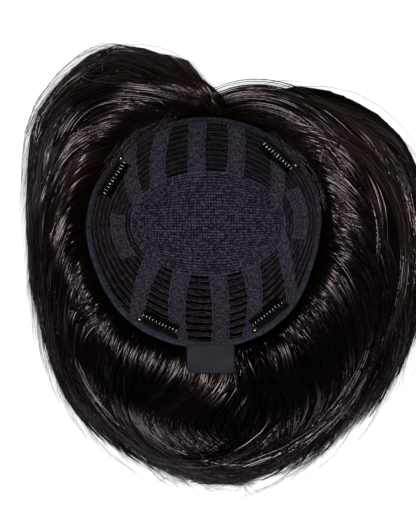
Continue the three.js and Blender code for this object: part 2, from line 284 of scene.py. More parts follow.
# Fine strands that stray from the rest, and the lowest and highest reach, sweep and lift in millimetres.
FLYAWAYS = 420
FLYAWAY_RADIUS = 0.16 * MM
FLYAWAY_SPREAD = ((0.94, 1.14), (0.5, 1.1), (-1, 1.5))
# How far the hair's body and its strands keep from the label and from the cap.
BODY_GAPS = (2 * MM, 3.4 * MM)
STRAND_GAPS = (1.4 * MM, 4 * MM)
# How deep the dip between two locks is, in millimetres.
LOCK_DIP = 3.0
# How high the long strands at the sides wave, in millimetres, and how many waves they have.
WAVE = 1.2
WAVES = 3.4
# How far strands at a lock's sides are rolled outwards, in radians.
LOCK_ROLL = 0.25
# How far a strand that runs across the hair's slope leans with it at most, in radians.
LEAN = 0.55
# Hair shines more at the nape and less at the front: where that starts and fades in, and by which share.
NAPE_SHINE_FROM = 105 * MM
FRONT_DULL_FROM = 60 * MM
SHINE_FADE = 40 * MM
NAPE_SHINE = 1.1
FRONT_DULL = 0.35


def length_of(name, description, default, **options):
    return FloatProperty(name=name, description=description, default=default, unit="LENGTH", **options)


def number_of(name, description, default, kind=IntProperty, **options):
    return kind(name=name, description=description, default=default, **options)


def colour_of(name, description, default):
    return FloatVectorProperty(name=name, description=description, default=default, subtype="COLOR")


class TopperCap(bpy.types.PropertyGroup):
    """Sizes of the cap and its crown panel."""

    half_width: length_of("Half width", "Middle of the cap to its side edge", 82 * MM)
    half_length: length_of("Half length", "Middle of the cap to its front edge", 78 * MM)
    crown_height: length_of("Crown height", "Height of the crown over the table", 11 * MM)
    depth: length_of("Depth", "From the crown up to the rim", 36 * MM)
    fullness: number_of(
        "Fullness", "How round the wall is, from a cone to a ball", 0.86, FloatProperty, subtype="FACTOR"
    )
    panel_half_width: length_of("Panel half width", "Half width of the crown panel", 53 * MM)
    panel_half_length: length_of("Panel half length", "Half length of the crown panel", 36 * MM)
    panel_x: length_of("Panel X", "Middle of the crown panel", 1.5 * MM)
    panel_y: length_of("Panel Y", "Middle of the crown panel", 6.5 * MM)


class TopperCloth(bpy.types.PropertyGroup):
    """Sizes and colours of the cloth pieces."""

    courses: number_of("Courses", "Rows of knit across the crown panel", 36)
    wales: number_of("Wales", "Columns of knit across the crown panel", 54)
    strap_width: length_of("Strap width", "Width of a lace strap", 12.5 * MM)
    side_strap_width: length_of("Side strap width", "Width of a lace strap on a side wall", 10 * MM)
    scallop: length_of("Scallop", "Length of one lobe of the lace", 7.6 * MM)
    weft_rows: number_of("Weft rows", "Sewn hair tracks round the panel", 9)
    label_width: length_of("Label width", "Width of the bare label", 33 * MM)
    label_length: length_of("Label length", "Length of the bare label", 20 * MM)
    navy: colour_of("Navy", "Light threads of the knit and lace", (0.05, 0.041, 0.063))
    night: colour_of("Night", "Shaded threads of the knit and lace", (0.0035, 0.0028, 0.0045))


class TopperHair(bpy.types.PropertyGroup):
    """Thickness and colours of the hair."""

    strand: length_of("Strand", "Radius of one bundle of hairs", 0.37 * MM, precision=5)
    steps: number_of("Steps", "Rings along a strand", 19)
    seed: number_of("Seed", "Number that sets the strands' variety", 5)
    black: colour_of("Black", "Darkest strands", (0.0001, 0.0001, 0.0001))
    brown: colour_of("Brown", "Lightest strands", (0.0065, 0.0032, 0.0027))


class TopperStage(bpy.types.PropertyGroup):
    """Camera, light and floor."""

    camera_height: length_of("Camera height", "Camera over the table", 3.2)
    view_height: length_of("View height", "Length of table the picture shows", 0.364)
    light_power: number_of("Light power", "Watts of the soft overhead light", 80, FloatProperty)
    room_light: number_of("Room light", "Strength of the light all round", 0.015, FloatProperty)
    floor: colour_of("Floor", "Colour of the table", (0.74, 0.74, 0.74))


def lerp(low, high, share):
    return low + (high - low) * share


def ramp(value, start, end):
    """How far a value has come from start to end, from 0 to 1."""
    return np.clip((value - start) / (end - start), 0, 1)


def ease(share):
    """A step from 0 to 1 that starts and ends softly."""
    return share**3 * (10 - 15 * share + 6 * share**2)


def polar(angle, radius, height):
    """Points at an angle and a distance round the middle of the cap, and a height over the table."""
    return np.stack([radius * np.cos(angle), radius * np.sin(angle), height], axis=-1)


def degrees_from(angle, degrees):
    """Degrees from a direction to an angle in radians, the short way round."""
    return (np.degrees(angle) - degrees + 180) % 360 - 180


class Cap:
    """The cap's wall. Row is a share of the way from panel to rim, and depth runs away from the head."""

    def __init__(self, sizes):
        self.half_width = sizes.half_width
        self.half_length = sizes.half_length
        self.crown = sizes.crown_height
        self.deep = sizes.depth
        self.fullness = sizes.fullness
        self.panel_half = (sizes.panel_half_width, sizes.panel_half_length)
        self.panel_middle = (sizes.panel_x, sizes.panel_y)

    def rim(self, angle):
        oval = 1 / np.hypot(np.cos(angle) / self.half_width, np.sin(angle) / self.half_length)
        for middle, wide, dip in RIM_DENTS:
            oval = oval - dip * MM * np.exp(-((degrees_from(angle, middle) / wide) ** 2))
        return oval

    def panel(self, angle):
        along_x = np.cos(angle) / self.panel_half[0]
        along_y = np.sin(angle) / self.panel_half[1]
        middle_x = self.panel_middle[0] / self.panel_half[0]
        middle_y = self.panel_middle[1] / self.panel_half[1]
        square = along_x**2 + along_y**2
        half = along_x * middle_x + along_y * middle_y
        return (half + np.sqrt(half**2 - square * (middle_x**2 + middle_y**2 - 1))) / square

    def bow(self, share):
        return 1 - np.sqrt(np.maximum(1 - (self.fullness * share) ** 2, 1e-6))

    def height(self, share):
        return self.crown + self.deep * self.bow(share) / self.bow(1)

    def spot(self, angle, share):
        return polar(angle, self.rim(angle) * share, self.height(share))

    def outward(self, angle, share):
        small = 1e-3
        safe = np.maximum(share, small)
        across = self.spot(angle, safe + small) - self.spot(angle, safe - small)
        around = self.spot(angle + small, safe) - self.spot(angle - small, safe)
        normal = -np.cross(across, around)
        return normal / np.linalg.norm(normal, axis=-1, keepdims=True)

    def point(self, angle, share, depth):
        angle, share, depth = np.broadcast_arrays(angle, share, np.asarray(depth, dtype=float))
        return self.spot(angle, share) + self.outward(angle, share) * depth[..., None]

    def row_share(self, angle, row):
        return lerp(self.panel(angle) / self.rim(angle), 1, row)

    def row_point(self, angle, row, depth):
        return self.point(angle, self.row_share(angle, row), depth)

    def plan_point(self, x, y, depth):
        angle = np.arctan2(y, x)
        return self.point(angle, np.hypot(x, y) / self.rim(angle), depth)


class HairFlow:
    """How hair runs from its root on the cap out to the bob's outline."""

    def __init__(self, cap):
        self.cap = cap
        self.flow = np.array(FLOW, dtype=float).T
        self.sweep = np.array(SWEEP, dtype=float).T
        self.ring = np.array(RING, dtype=float).T
        every = np.arange(361)
        edge = np.interp(every, *np.array(OUTLINE, dtype=float).T)
        soft = np.hanning(15) / np.hanning(15).sum()
        rounded = np.convolve(np.pad(edge[:-1], (7, 8), mode="wrap"), soft, "valid")
        self.edge = (every, rounded * MM)

    def at(self, table, degrees):
        """Every column of a table that goes once round the cap."""
        first = table[0][0]
        wrapped = (degrees - first) % 360 + first
        return [np.interp(wrapped, table[0], column) for column in table[1:]]

    def outline(self, angle):
        return self.at(self.edge, np.degrees(angle))[0]

    def past_rim(self, angle, radius):
        """How far out a strand is from where it leaves the cap."""
        return radius - self.cap.rim(angle) * STRAND_ROOT

    def lock(self, root, along, levels, start, reach):
        """Middle line of a lock rooted at an angle in degrees."""
        swing, turn, share = self.at(self.flow, root)
        angle = np.radians(root + swing * along**turn)
        out = np.sin(along * math.pi / 2)
        radius = lerp(self.cap.rim(angle) * start, self.outline(angle) * reach * share, out)
        return polar(angle, radius, self.fall(out, levels))

    def strand(self, root, along, start, reach, sway, sweep):
        """A strand's angle and radius along it."""
        swing, turn, soon = self.at(self.sweep, root)
        angle = np.radians(root + sweep * swing * along**turn + sway)
        out = np.sin(np.minimum(along * soon, 1) * math.pi / 2) * reach
        radius = lerp(self.cap.rim(angle) * start, self.outline(angle), out)
        for degrees, far, wide, long, push in BENDS:
            aside = degrees_from(angle, degrees) / wide
            near = np.exp(-(aside**2) - ((radius / MM - far) / long) ** 2)
            angle = angle + np.radians(push) * near
        return angle, radius

    def drape(self, angle, away, levels, shift):
        """Heights of a strand that climbs to the ring and falls to its tip, over a shelf at the nape."""
        root_z, crest_z, shelf_z, tip_z = levels
        ring, nape, _ = self.at(self.ring, np.degrees(angle))
        crest = (ring + shift) * MM
        room = self.past_rim(angle, self.outline(angle))
        climb = np.clip(1 - away / crest, 0, 1) ** 3
        past = np.clip((away - crest) / (room - crest), 0, 1.1)
        dome = np.minimum((crest_z - tip_z) * past**1.6, STEEPEST * np.maximum(away - crest, 0))
        drop = ease(ramp(past, 0, STRAND_SHELF))
        curl = np.clip((past - STRAND_SHELF) / (1 - STRAND_SHELF), 0, 1.2) ** 2.4
        step = (crest_z - shelf_z) * drop + (shelf_z - tip_z) * curl
        return crest_z - (crest_z - root_z) * climb - lerp(dome, step, nape)

    def fall(self, out, levels):
        """Heights of a lock that climbs to a crest, drops to a shelf and curls under to its tip."""
        root_z, crest_z, shelf_z, tip_z = levels
        climb = 1 - (1 - ramp(out, 0, CREST)) ** 3
        drop = ease(ramp(out, CREST, SHELF))
        curl = 1 - np.cos(ramp(out, SHELF, 1) * math.pi / 2)
        return root_z + (crest_z - root_z) * climb + (shelf_z - crest_z) * drop + (tip_z - shelf_z) * curl


class Label:
    """The tab's middle line: it leaves the binding at the nape and lies back on the hair."""

    def __init__(self, cap, cloth):
        self.root = cap.row_point(np.array(-math.pi / 2), 0.99, -0.6 * MM)
        self.x = 3.2 * MM
        self.width = cloth.label_width
        self.length = cloth.label_length

    def height(self, along):
        return self.root[2] + 3 * MM * np.sin(math.pi * 0.8 * along)

    def press(self, points, gap):
        """Points that would stand up through the tab go under it."""
        beside = np.maximum(np.abs(points[..., 0] - self.x) - self.width / 2, 0)
        along = (self.root[1] - points[..., 1]) / self.length
        past = np.maximum(np.maximum(along - 1, -along), 0) * self.length
        ceiling = self.height(np.clip(along, 0, 1)) - gap + 2.5 * np.hypot(beside, past)
        pressed = points.copy()
        pressed[..., 2] = np.minimum(points[..., 2], ceiling)
        return pressed


def cap_now():
    return Cap(bpy.context.scene.topper_cap)


def clear_of(cap, label, points, gaps):
    """Points that would come through the label or the cap's wall go to their outer side."""
    label_gap, gap = gaps
    points = label.press(points, label_gap)
    angle = np.arctan2(points[..., 1], points[..., 0])
    share = np.hypot(points[..., 0], points[..., 1]) / cap.rim(angle)
    edge = 1.045
    steep = np.abs(cap.outward(angle, np.minimum(share, STRAND_ROOT))[..., 2])
    wall = cap.height(np.minimum(share, edge)) - gap / np.maximum(steep, 0.3)
    ceiling = np.where(share < edge, wall, 1)
    points[..., 2] = np.minimum(points[..., 2], ceiling)
    return points


def unit(vectors):
    return vectors / np.maximum(np.linalg.norm(vectors, axis=-1, keepdims=True), 1e-12)


class Tubes:
    """Many small round threads, wires or hairs gathered in one mesh."""

    def __init__(self):
        self.points = []
        self.faces = []
        self.corners = []
        self.shades = []
        self.creased = []
        self.count = 0

    def add(self, paths, radii, section, shade=0.5, ring=False, roll=0.0, creased=False):
        """Paths are (tubes, steps, 3); a ring is closed on itself, other tubes get ends."""
        paths = np.asarray(paths)
        tubes, steps, _ = paths.shape
        sides = len(section)
        radii = np.broadcast_to(radii, (tubes, steps))
        if ring:
            ahead = np.roll(paths, -1, axis=1) - np.roll(paths, 1, axis=1)
        else:
            ahead = np.gradient(paths, axis=1)
        ahead = unit(ahead)
        side = unit(np.cross(ahead, np.array([0.031, 0.017, 1.0])))
        lift = np.cross(side, ahead)
        turn = np.broadcast_to(roll, (tubes, steps))[:, :, None]
        side, lift = side * np.cos(turn) + lift * np.sin(turn), lift * np.cos(turn) - side * np.sin(turn)
        across, up = np.array(section, dtype=float).T
        outline = side[:, :, None] * across[:, None] + lift[:, :, None] * up[:, None]
        self.points.append((paths[:, :, None] + outline * radii[:, :, None, None]).reshape(-1, 3))
        self.creased.append(np.tile((np.array(across) != 0) & creased, tubes * steps))
        shade = np.asarray(shade, dtype=float)
        shade = shade[:, :, None] if shade.ndim == 2 else shade.reshape(-1, 1, 1)
        self.shades.append(np.broadcast_to(shade, (tubes, steps, sides)).reshape(-1))

        index = np.arange(tubes * steps * sides).reshape(tubes, steps, sides) + self.count
        after = np.roll(index, -1, axis=2)
        if ring:
            next_index = np.roll(index, -1, axis=1)
            next_after = np.roll(after, -1, axis=1)
        else:
            index, next_index = index[:, :-1], index[:, 1:]
            after, next_after = after[:, :-1], after[:, 1:]
            self.add_faces(index[:, 0])
            self.add_faces(next_index[:, -1, ::-1])
        self.add_faces(np.stack([index, next_index, next_after, after], axis=-1).reshape(-1, 4))
        self.count += tubes * steps * sides

    def add_faces(self, faces):
        self.faces.append(np.ascontiguousarray(faces).reshape(-1))
        self.corners.append(np.full(len(faces), faces.shape[-1]))

    def mesh(self, name):
        made = bpy.data.meshes.new(name)
        points = np.concatenate(self.points)
        loops = np.concatenate(self.faces)
        corners = np.concatenate(self.corners)
        made.vertices.add(len(points))
        made.vertices.foreach_set("co", points.astype(np.float32).ravel())
        made.loops.add(len(loops))
        made.loops.foreach_set("vertex_index", loops.astype(np.int32))
        made.polygons.add(len(corners))
        made.polygons.foreach_set("loop_start", (np.cumsum(corners) - corners).astype(np.int32))
        made.update(calc_edges=True)
        made.shade_smooth()
        set_shade(made, np.concatenate(self.shades))
        self.crease_sides(made)
        return made

    def crease_sides(self, made):
        """Keep the side edges of flat strands sharp, so that light follows the flat."""
        creased = np.concatenate(self.creased)
        ends = np.empty(len(made.edges) * 2, dtype=np.int32)
        made.edges.foreach_get("vertices", ends)
        first, second = ends.reshape(-1, 2).T
        sharp = creased[first] & creased[second] & (np.abs(first - second) >= len(RIBBON))
        layer = made.attributes.new("sharp_edge", "BOOLEAN", "EDGE")
        layer.data.foreach_set("value", sharp)


def circle(sides):
    """Section of a round thread."""
    turn = np.arange(sides) * TURN / sides
    return np.stack([np.cos(turn), np.sin(turn)], axis=1)


def set_shade(mesh, values):
    """How light each point is, from 0 to 1, for the finish to read."""
    layer = mesh.attributes.new("shade", "FLOAT", "POINT")
    layer.data.foreach_set("value", np.asarray(values, dtype=np.float32))


def cloth_grid(columns, rows, place, closed=False):
    """A grid with a UV map, its points moved to place(u, v); a closed one is joined where its edges meet."""
    bm = bmesh.new()
    bm.loops.layers.uv.new("UVMap")
    bmesh.ops.create_grid(bm, x_segments=columns, y_segments=rows, size=0.5, calc_uvs=True)
    flat = np.array([vertex.co[:2] for vertex in bm.verts]) + 0.5
    points, shades = place(flat[:, 0], flat[:, 1])
    layer = bm.verts.layers.float.new("shade")
    for vertex, point, shade in zip(bm.verts, points, np.broadcast_to(shades, len(points))):
        vertex.co = point
        vertex[layer] = shade
    if closed:
        bmesh.ops.remove_doubles(bm, verts=bm.verts, dist=2e-6)
        bmesh.ops.recalc_face_normals(bm, faces=bm.faces)
    return bm


def face_head(bm):
    """Turn an open sheet so that its front looks into the cap."""
    bm.normal_update()
    if sum(face.normal.z * face.calc_area() for face in bm.faces) < 0:
        bmesh.ops.reverse_faces(bm, faces=bm.faces)


def bmesh_mesh(name, bm):
    made = bpy.data.meshes.new(name)
    bm.to_mesh(made)
    bm.free()
    made.shade_smooth()
    return made


def add_piece(name, made, finish, nodes=()):
    """A visible piece from gathered threads, a bmesh or a mesh; it stands for the named nodes."""
    if isinstance(made, Tubes):
        mesh = made.mesh(name)
    elif isinstance(made, bmesh.types.BMesh):
        mesh = bmesh_mesh(name, made)
    else:
        mesh = made
    mesh.materials.append(finish_once(finish))
    piece = bpy.data.objects.new(name, mesh)
    bpy.context.scene.collection.objects.link(piece)
    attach(piece, "root")
    if nodes:
        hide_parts(*nodes)
    return piece


def add_wall(piece, thickness):
    """Give an open sheet its cloth thickness behind its front."""
    wall = piece.modifiers.new("Cloth wall", "SOLIDIFY")
    wall.thickness = thickness
    wall.offset = -1


# Finishes


def node_group(name, inputs, outputs):
    tree = bpy.data.node_groups.new(name, "ShaderNodeTree")
    for kind, label in inputs:
        tree.interface.new_socket(label, in_out="INPUT", socket_type=kind)
    for kind, label in outputs:
        tree.interface.new_socket(label, in_out="OUTPUT", socket_type=kind)
    return tree, tree.nodes.new("NodeGroupInput").outputs, tree.nodes.new("NodeGroupOutput").inputs


def set_socket(tree, socket, value):
    """Join a socket to another one, or give it a number or a colour."""
    if isinstance(value, bpy.types.NodeSocket):
        tree.links.new(value, socket)
    elif isinstance(value, (int, float)):
        socket.default_value = value
    else:
        socket.default_value = (*value, 1)


def math_node(tree, operation, first, second=0.0, clamp=False):
    node = tree.nodes.new("ShaderNodeMath")
    node.operation = operation
    node.use_clamp = clamp
    set_socket(tree, node.inputs[0], first)
    set_socket(tree, node.inputs[1], second)
    return node.outputs[0]


def mix_colour(tree, factor, low, high):
    node = tree.nodes.new("ShaderNodeMix")
    node.data_type = "RGBA"
    for index, value in ((0, factor), (6, low), (7, high)):
        tree.links.new(value, node.inputs[index])
    return node.outputs[2]


def noise(tree, vector, scale, detail):
    node = tree.nodes.new("ShaderNodeTexNoise")
    node.inputs["Detail"].default_value = detail
    node.inputs["Roughness"].default_value = 0.6
    tree.links.new(vector, node.inputs["Vector"])
    tree.links.new(scale, node.inputs["Scale"])
    return node.outputs["Fac"]


def thread_weave_group():
    """Plain weave: two sets of threads that pass over and under each other."""
    found = bpy.data.node_groups.get("Thread weave")
    if found:
        return found
    tree, given, result = node_group(
        "Thread weave",
        (("NodeSocketVector", "UV"), ("NodeSocketFloat", "Across"), ("NodeSocketFloat", "Along")),
        (("NodeSocketFloat", "Height"),),
    )
    split = tree.nodes.new("ShaderNodeSeparateXYZ")
    tree.links.new(given["UV"], split.inputs[0])
    waves = []
    for axis, label in (("X", "Across"), ("Y", "Along")):
        count = math_node(tree, "MULTIPLY", split.outputs[axis], given[label])
        wave = math_node(tree, "SINE", math_node(tree, "MULTIPLY", count, math.pi))
        waves.append(math_node(tree, "ABSOLUTE", wave))
    tree.links.new(math_node(tree, "MULTIPLY", *waves), result["Height"])
    return tree


def fibre_mottle_group():
    """Loose fibres: a soft change of colour over the cloth and a fine fuzz on it."""
    found = bpy.data.node_groups.get("Fibre mottle")
    if found:
        return found
    numbers = ("Patch scale", "Fibre scale", "Contrast", "Shade")
    tree, given, result = node_group(
        "Fibre mottle",
        (
            ("NodeSocketVector", "Vector"),
            *(("NodeSocketFloat", label) for label in numbers),
            ("NodeSocketColor", "Dark"),
            ("NodeSocketColor", "Light"),
        ),
        (("NodeSocketColor", "Colour"), ("NodeSocketFloat", "Fuzz")),
    )
    patch = noise(tree, given["Vector"], given["Patch scale"], detail=4.0)
    fuzz = noise(tree, given["Vector"], given["Fibre scale"], detail=2.0)
    patch_part = math_node(tree, "MULTIPLY", patch, 0.7)
    both = math_node(tree, "ADD", patch_part, math_node(tree, "MULTIPLY", fuzz, 0.6))
    change = math_node(tree, "MULTIPLY", math_node(tree, "SUBTRACT", both, 0.65), given["Contrast"])
    amount = math_node(tree, "ADD", given["Shade"], change, clamp=True)
    tree.links.new(mix_colour(tree, amount, given["Dark"], given["Light"]), result["Colour"])
    tree.links.new(fuzz, result["Fuzz"])
    return tree


class Finish:
    """A material with one shader, and short ways to join nodes to it."""

    def __init__(self, name, **constants):
        self.material = bpy.data.materials.new(name)
        self.material.use_nodes = True
        self.tree = self.material.node_tree
        self.shader = self.tree.nodes["Principled BSDF"]
        for label, value in constants.items():
            self.shader.inputs[label.replace("_", " ").title().replace("Ior", "IOR")].default_value = value

    def link(self, output, label):
        self.tree.links.new(output, self.shader.inputs[label])

    def math(self, operation, first, second, clamp=False):
        return math_node(self.tree, operation, first, second, clamp)

    def group(self, tree, values):
        node = self.tree.nodes.new("ShaderNodeGroup")
        node.node_tree = tree
        for label, value in values.items():
            set_socket(self.tree, node.inputs[label], value)
        return node.outputs

    def coords(self, output):
        return self.tree.nodes.new("ShaderNodeTexCoord").outputs[output]

    def shade(self):
        node = self.tree.nodes.new("ShaderNodeAttribute")
        node.attribute_name = "shade"
        return node.outputs["Fac"]

    def weave(self, across, along):
        """Height of a weave with so many threads each way over the piece."""
        values = {"UV": self.coords("UV"), "Across": across, "Along": along}
        return self.group(thread_weave_group(), values)["Height"]

    def mottled(self, patch, fibre, shade, dark, light, contrast=1.0):
        """Colour between dark and light, mottled by patches and fibres of these scales; gives the fuzz."""
        values = {
            "Vector": self.coords("Object"),
            "Patch scale": patch,
            "Fibre scale": fibre,
            "Contrast": contrast,
            "Shade": shade,
            "Dark": dark,
            "Light": light,
        }
        mottle = self.group(fibre_mottle_group(), values)
        self.link(mottle["Colour"], "Base Color")
        return mottle["Fuzz"]

    def bump(self, height, strength, distance):
        node = self.tree.nodes.new("ShaderNodeBump")
        node.inputs["Strength"].default_value = strength
        node.inputs["Distance"].default_value = distance
        self.tree.links.new(height, node.inputs["Height"])
        self.link(node.outputs["Normal"], "Normal")

    def roughness(self, value, low, high):
        self.link(self.math("ADD", self.math("MULTIPLY", value, high - low), low, clamp=True), "Roughness")


def finish_once(build):
    """The material that a function makes, made at its first use and named after the function."""
    name = build.__name__.replace("_", " ").capitalize()
    return bpy.data.materials.get(name) or build(name)


def dimmed(colour, share):
    return [share * value for value in colour]


def knit_cloth(name):
    cloth = bpy.context.scene.topper_cloth
    knit = Finish(name, sheen_weight=0.02, sheen_roughness=0.5, specular_ior_level=0.03)
    fuzz = knit.mottled(480, 1300, knit.shade(), cloth.night, cloth.navy, contrast=8)
    knit.roughness(fuzz, 0.75, 1.0)
    knit.bump(fuzz, 0.5, 0.25 * MM)
    return knit.material


def lace_net(name):
    cloth = bpy.context.scene.topper_cloth
    net = Finish(name, sheen_weight=0.02, sheen_roughness=0.5, specular_ior_level=0.03)
    weave = net.weave(12, 46)
    lit = net.math("MULTIPLY", weave, 0.7)
    fuzz = net.mottled(620, 1700, lit, dimmed(cloth.night, 0.6), dimmed(cloth.navy, 0.7), contrast=4.2)
    net.roughness(fuzz, 0.75, 1.0)
    net.bump(weave, 0.7, 0.3 * MM)
    return net.material


def lace_thread(name):
    cloth = bpy.context.scene.topper_cloth
    thread = Finish(name, sheen_weight=0.02, sheen_roughness=0.4, specular_ior_level=0.06)
    fuzz = thread.mottled(620, 1700, thread.shade(), cloth.night, cloth.navy, contrast=4.6)
    thread.roughness(fuzz, 0.5, 0.85)
    thread.bump(fuzz, 0.4, 0.2 * MM)
    return thread.material


def weft_thread(name):
    thread = Finish(name, specular_ior_level=0.12)
    fuzz = thread.mottled(
        120, 2500, thread.shade(), dark=(0.0015, 0.001, 0.0015), light=(0.029, 0.0182, 0.027)
    )
    thread.roughness(fuzz, 0.5, 0.8)
    return thread.material


def binding_tape(name):
    cloth = bpy.context.scene.topper_cloth
    tape = Finish(name, sheen_weight=0.02, sheen_roughness=0.45, specular_ior_level=0.04)
    weave = tape.weave(620, 22)
    lit = tape.math("ADD", tape.math("MULTIPLY", weave, 0.35), tape.math("MULTIPLY", tape.shade(), 0.6))
    fuzz = tape.mottled(420, 1800, lit, dimmed(cloth.night, 0.6), dimmed(cloth.navy, 0.62), contrast=2.8)
    tape.roughness(fuzz, 0.6, 0.9)
    tape.bump(weave, 0.5, 0.2 * MM)
    return tape.material


def label_satin(name):
    satin = Finish(name, sheen_weight=0.02, sheen_roughness=0.4, specular_ior_level=0.08)
    weave = satin.weave(30, 70)
    lit = satin.math("MULTIPLY", satin.math("ADD", weave, 1), satin.shade())
    fuzz = satin.mottled(80, 1500, lit, dark=(0.006, 0.006, 0.009), light=(0.0145, 0.014, 0.0195))
    satin.roughness(fuzz, 0.45, 0.75)
    satin.bump(weave, 0.4, 0.15 * MM)
    return satin.material


def clip_lacquer(name):
    lacquer = Finish(name, specular_ior_level=0.07)
    fuzz = lacquer.mottled(140, 1200, 0.4, dark=(0.0008, 0.0008, 0.001), light=(0.004, 0.0037, 0.0042))
    lacquer.roughness(fuzz, 0.45, 0.75)
    return lacquer.material


def tooth_steel(name):
    steel = Finish(name, metallic=1.0)
    fuzz = steel.mottled(300, 2500, 0.5, dark=(0.015, 0.015, 0.016), light=(0.05, 0.05, 0.053))
    steel.roughness(fuzz, 0.07, 0.17)
    return steel.material


def rivet_brass(name):
    brass = Finish(name, metallic=1.0)
    fuzz = brass.mottled(500, 3000, 0.55, dark=(0.28, 0.17, 0.06), light=(0.72, 0.5, 0.22))
    brass.roughness(fuzz, 0.2, 0.45)
    return brass.material


def hair_fibre(name, gleam=0.21):
    hair = bpy.context.scene.topper_hair
    fibre = Finish(name, specular_tint=(1, 0.79, 0.85, 1))
    place = fibre.tree.nodes.new("ShaderNodeSeparateXYZ")
    fibre.tree.links.new(fibre.coords("Object"), place.inputs["Vector"])
    past_label = fibre.math("SUBTRACT", -NAPE_SHINE_FROM, place.outputs["Y"])
    nape = fibre.math("MULTIPLY", past_label, 1 / SHINE_FADE, clamp=True)
    past_cap = fibre.math("SUBTRACT", place.outputs["Y"], FRONT_DULL_FROM)
    front = fibre.math("MULTIPLY", past_cap, 1 / SHINE_FADE, clamp=True)
    shinier = fibre.math("ADD", fibre.math("MULTIPLY", nape, NAPE_SHINE * gleam), gleam)
    duller = fibre.math("MULTIPLY", front, FRONT_DULL * gleam)
    fibre.link(fibre.math("SUBTRACT", shinier, duller), "Specular IOR Level")
    fuzz = fibre.mottled(35, 400, fibre.shade(), hair.black, hair.brown)
    gloss = fibre.math("SUBTRACT", 1, fibre.shade(), clamp=True)
    fibre.roughness(fibre.math("MULTIPLY", gloss, fuzz), 0.2, 0.36)
    return fibre.material


def hair_fibre_in_the_shade(name):
    return hair_fibre(name, gleam=0.03)


def hair_underside(name):
    hair = bpy.context.scene.topper_hair
    under = Finish(name, specular_ior_level=0.02)
    fuzz = under.mottled(60, 900, 0.25, dimmed(hair.black, 0.5), hair.black)
    under.roughness(fuzz, 0.7, 0.95)
    under.bump(fuzz, 0.8, 1 * MM)
    return under.material


def table_paper(name):
    stage = bpy.context.scene.topper_stage
    paper = Finish(name, specular_ior_level=0.1)
    fuzz = paper.mottled(3, 300, 0.6, dimmed(stage.floor, 0.98), stage.floor)
    paper.roughness(fuzz, 0.8, 0.95)
    return paper.material


# Pieces


class TOPPER_OT_stage(bpy.types.Operator):
    """Camera straight above, a soft overhead light and a pale table"""

    bl_idname = "topper.stage"
    bl_label = "Stage"

    def execute(self, context):
        scene = context.scene
        stage = scene.topper_stage
        scene.view_settings.view_transform = "Standard"

        eye = bpy.data.cameras.new("Camera")
        eye.sensor_fit = "VERTICAL"
        eye.sensor_height = 24
        eye.lens = eye.sensor_height * stage.camera_height / stage.view_height
        eye.clip_end = 20
        camera = bpy.data.objects.new("Camera", eye)
        camera.location = (*AIM, stage.camera_height)
        scene.collection.objects.link(camera)
        scene.camera = camera

        lamp = bpy.data.lights.new("Softbox", "AREA")
        lamp.shape = "SQUARE"
        lamp.size = SOFTBOX_SIZE
        lamp.energy = stage.light_power
        softbox = bpy.data.objects.new("Softbox", lamp)
        softbox.location = SOFTBOX_AT
        softbox.rotation_euler = (-Vector(SOFTBOX_AT)).to_track_quat("-Z", "Y").to_euler()
        scene.collection.objects.link(softbox)

        world = bpy.data.worlds.new("Room")
        world.use_nodes = True
        background = world.node_tree.nodes["Background"].inputs
        background["Color"].default_value = (1, 1, 1, 1)
        background["Strength"].default_value = stage.room_light
        scene.world = world

        bm = bmesh.new()
        bmesh.ops.create_circle(bm, cap_ends=True, segments=96, radius=TABLE_RADIUS)
        mesh = bmesh_mesh("Table", bm)
        mesh.materials.append(finish_once(table_paper))
        table = bpy.data.objects.new("Table", mesh)
        scene.collection.objects.link(table)
        table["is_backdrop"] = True
        return {"FINISHED"}


class TOPPER_OT_crown_panel(bpy.types.Operator):
    """Oval of stretch knit, its courses and wales raised on a shallow bowl"""

    bl_idname = "topper.crown_panel"
    bl_label = "Crown panel"

    tucked = 1.02
    depth = 0.45 * MM
    ridge = 0.5 * MM
    hem_rise = 0.15 * MM
    valley_shade = -2.45
    ridge_shade = 3.8
    hem_shade = 0.5

    def execute(self, context):
        cap = cap_now()
        cloth = context.scene.topper_cloth
        half_width, half_length = cap.panel_half

        def place(u, v):
            across = 2 * u - 1
            up = 2 * v - 1
            x = cap.panel_middle[0] + self.tucked * half_width * across * np.sqrt(1 - up**2 / 2)
            y = cap.panel_middle[1] + self.tucked * half_length * up * np.sqrt(1 - across**2 / 2)
            zigzag = np.abs((u * cloth.wales) % 1 - 0.5)
            course = np.abs(np.sin(math.pi * (v * cloth.courses + 0.7 * zigzag)))
            wale = 0.5 - 0.5 * np.cos(TURN * u * cloth.wales)
            loop = course * (0.8 + 0.2 * wale)
            hem = ramp(np.maximum(np.abs(across), np.abs(up)), 0.95, 1)
            depth = self.depth - self.ridge * loop - self.hem_rise * hem
            # Painted light and shade: the knit's ridges are lighter and its valleys darker; the hem is
            # lighter too.
            shade = self.valley_shade + self.ridge_shade * loop + self.hem_shade * hem
            return cap.plan_point(x, y, depth), shade

        bm = cloth_grid(cloth.wales * 2, cloth.courses * 4, place)
        face_head(bm)
        piece = add_piece("crown_knit", bm, knit_cloth, ["crown_panel"])
        add_wall(piece, KNIT_WALL)
        return {"FINISHED"}


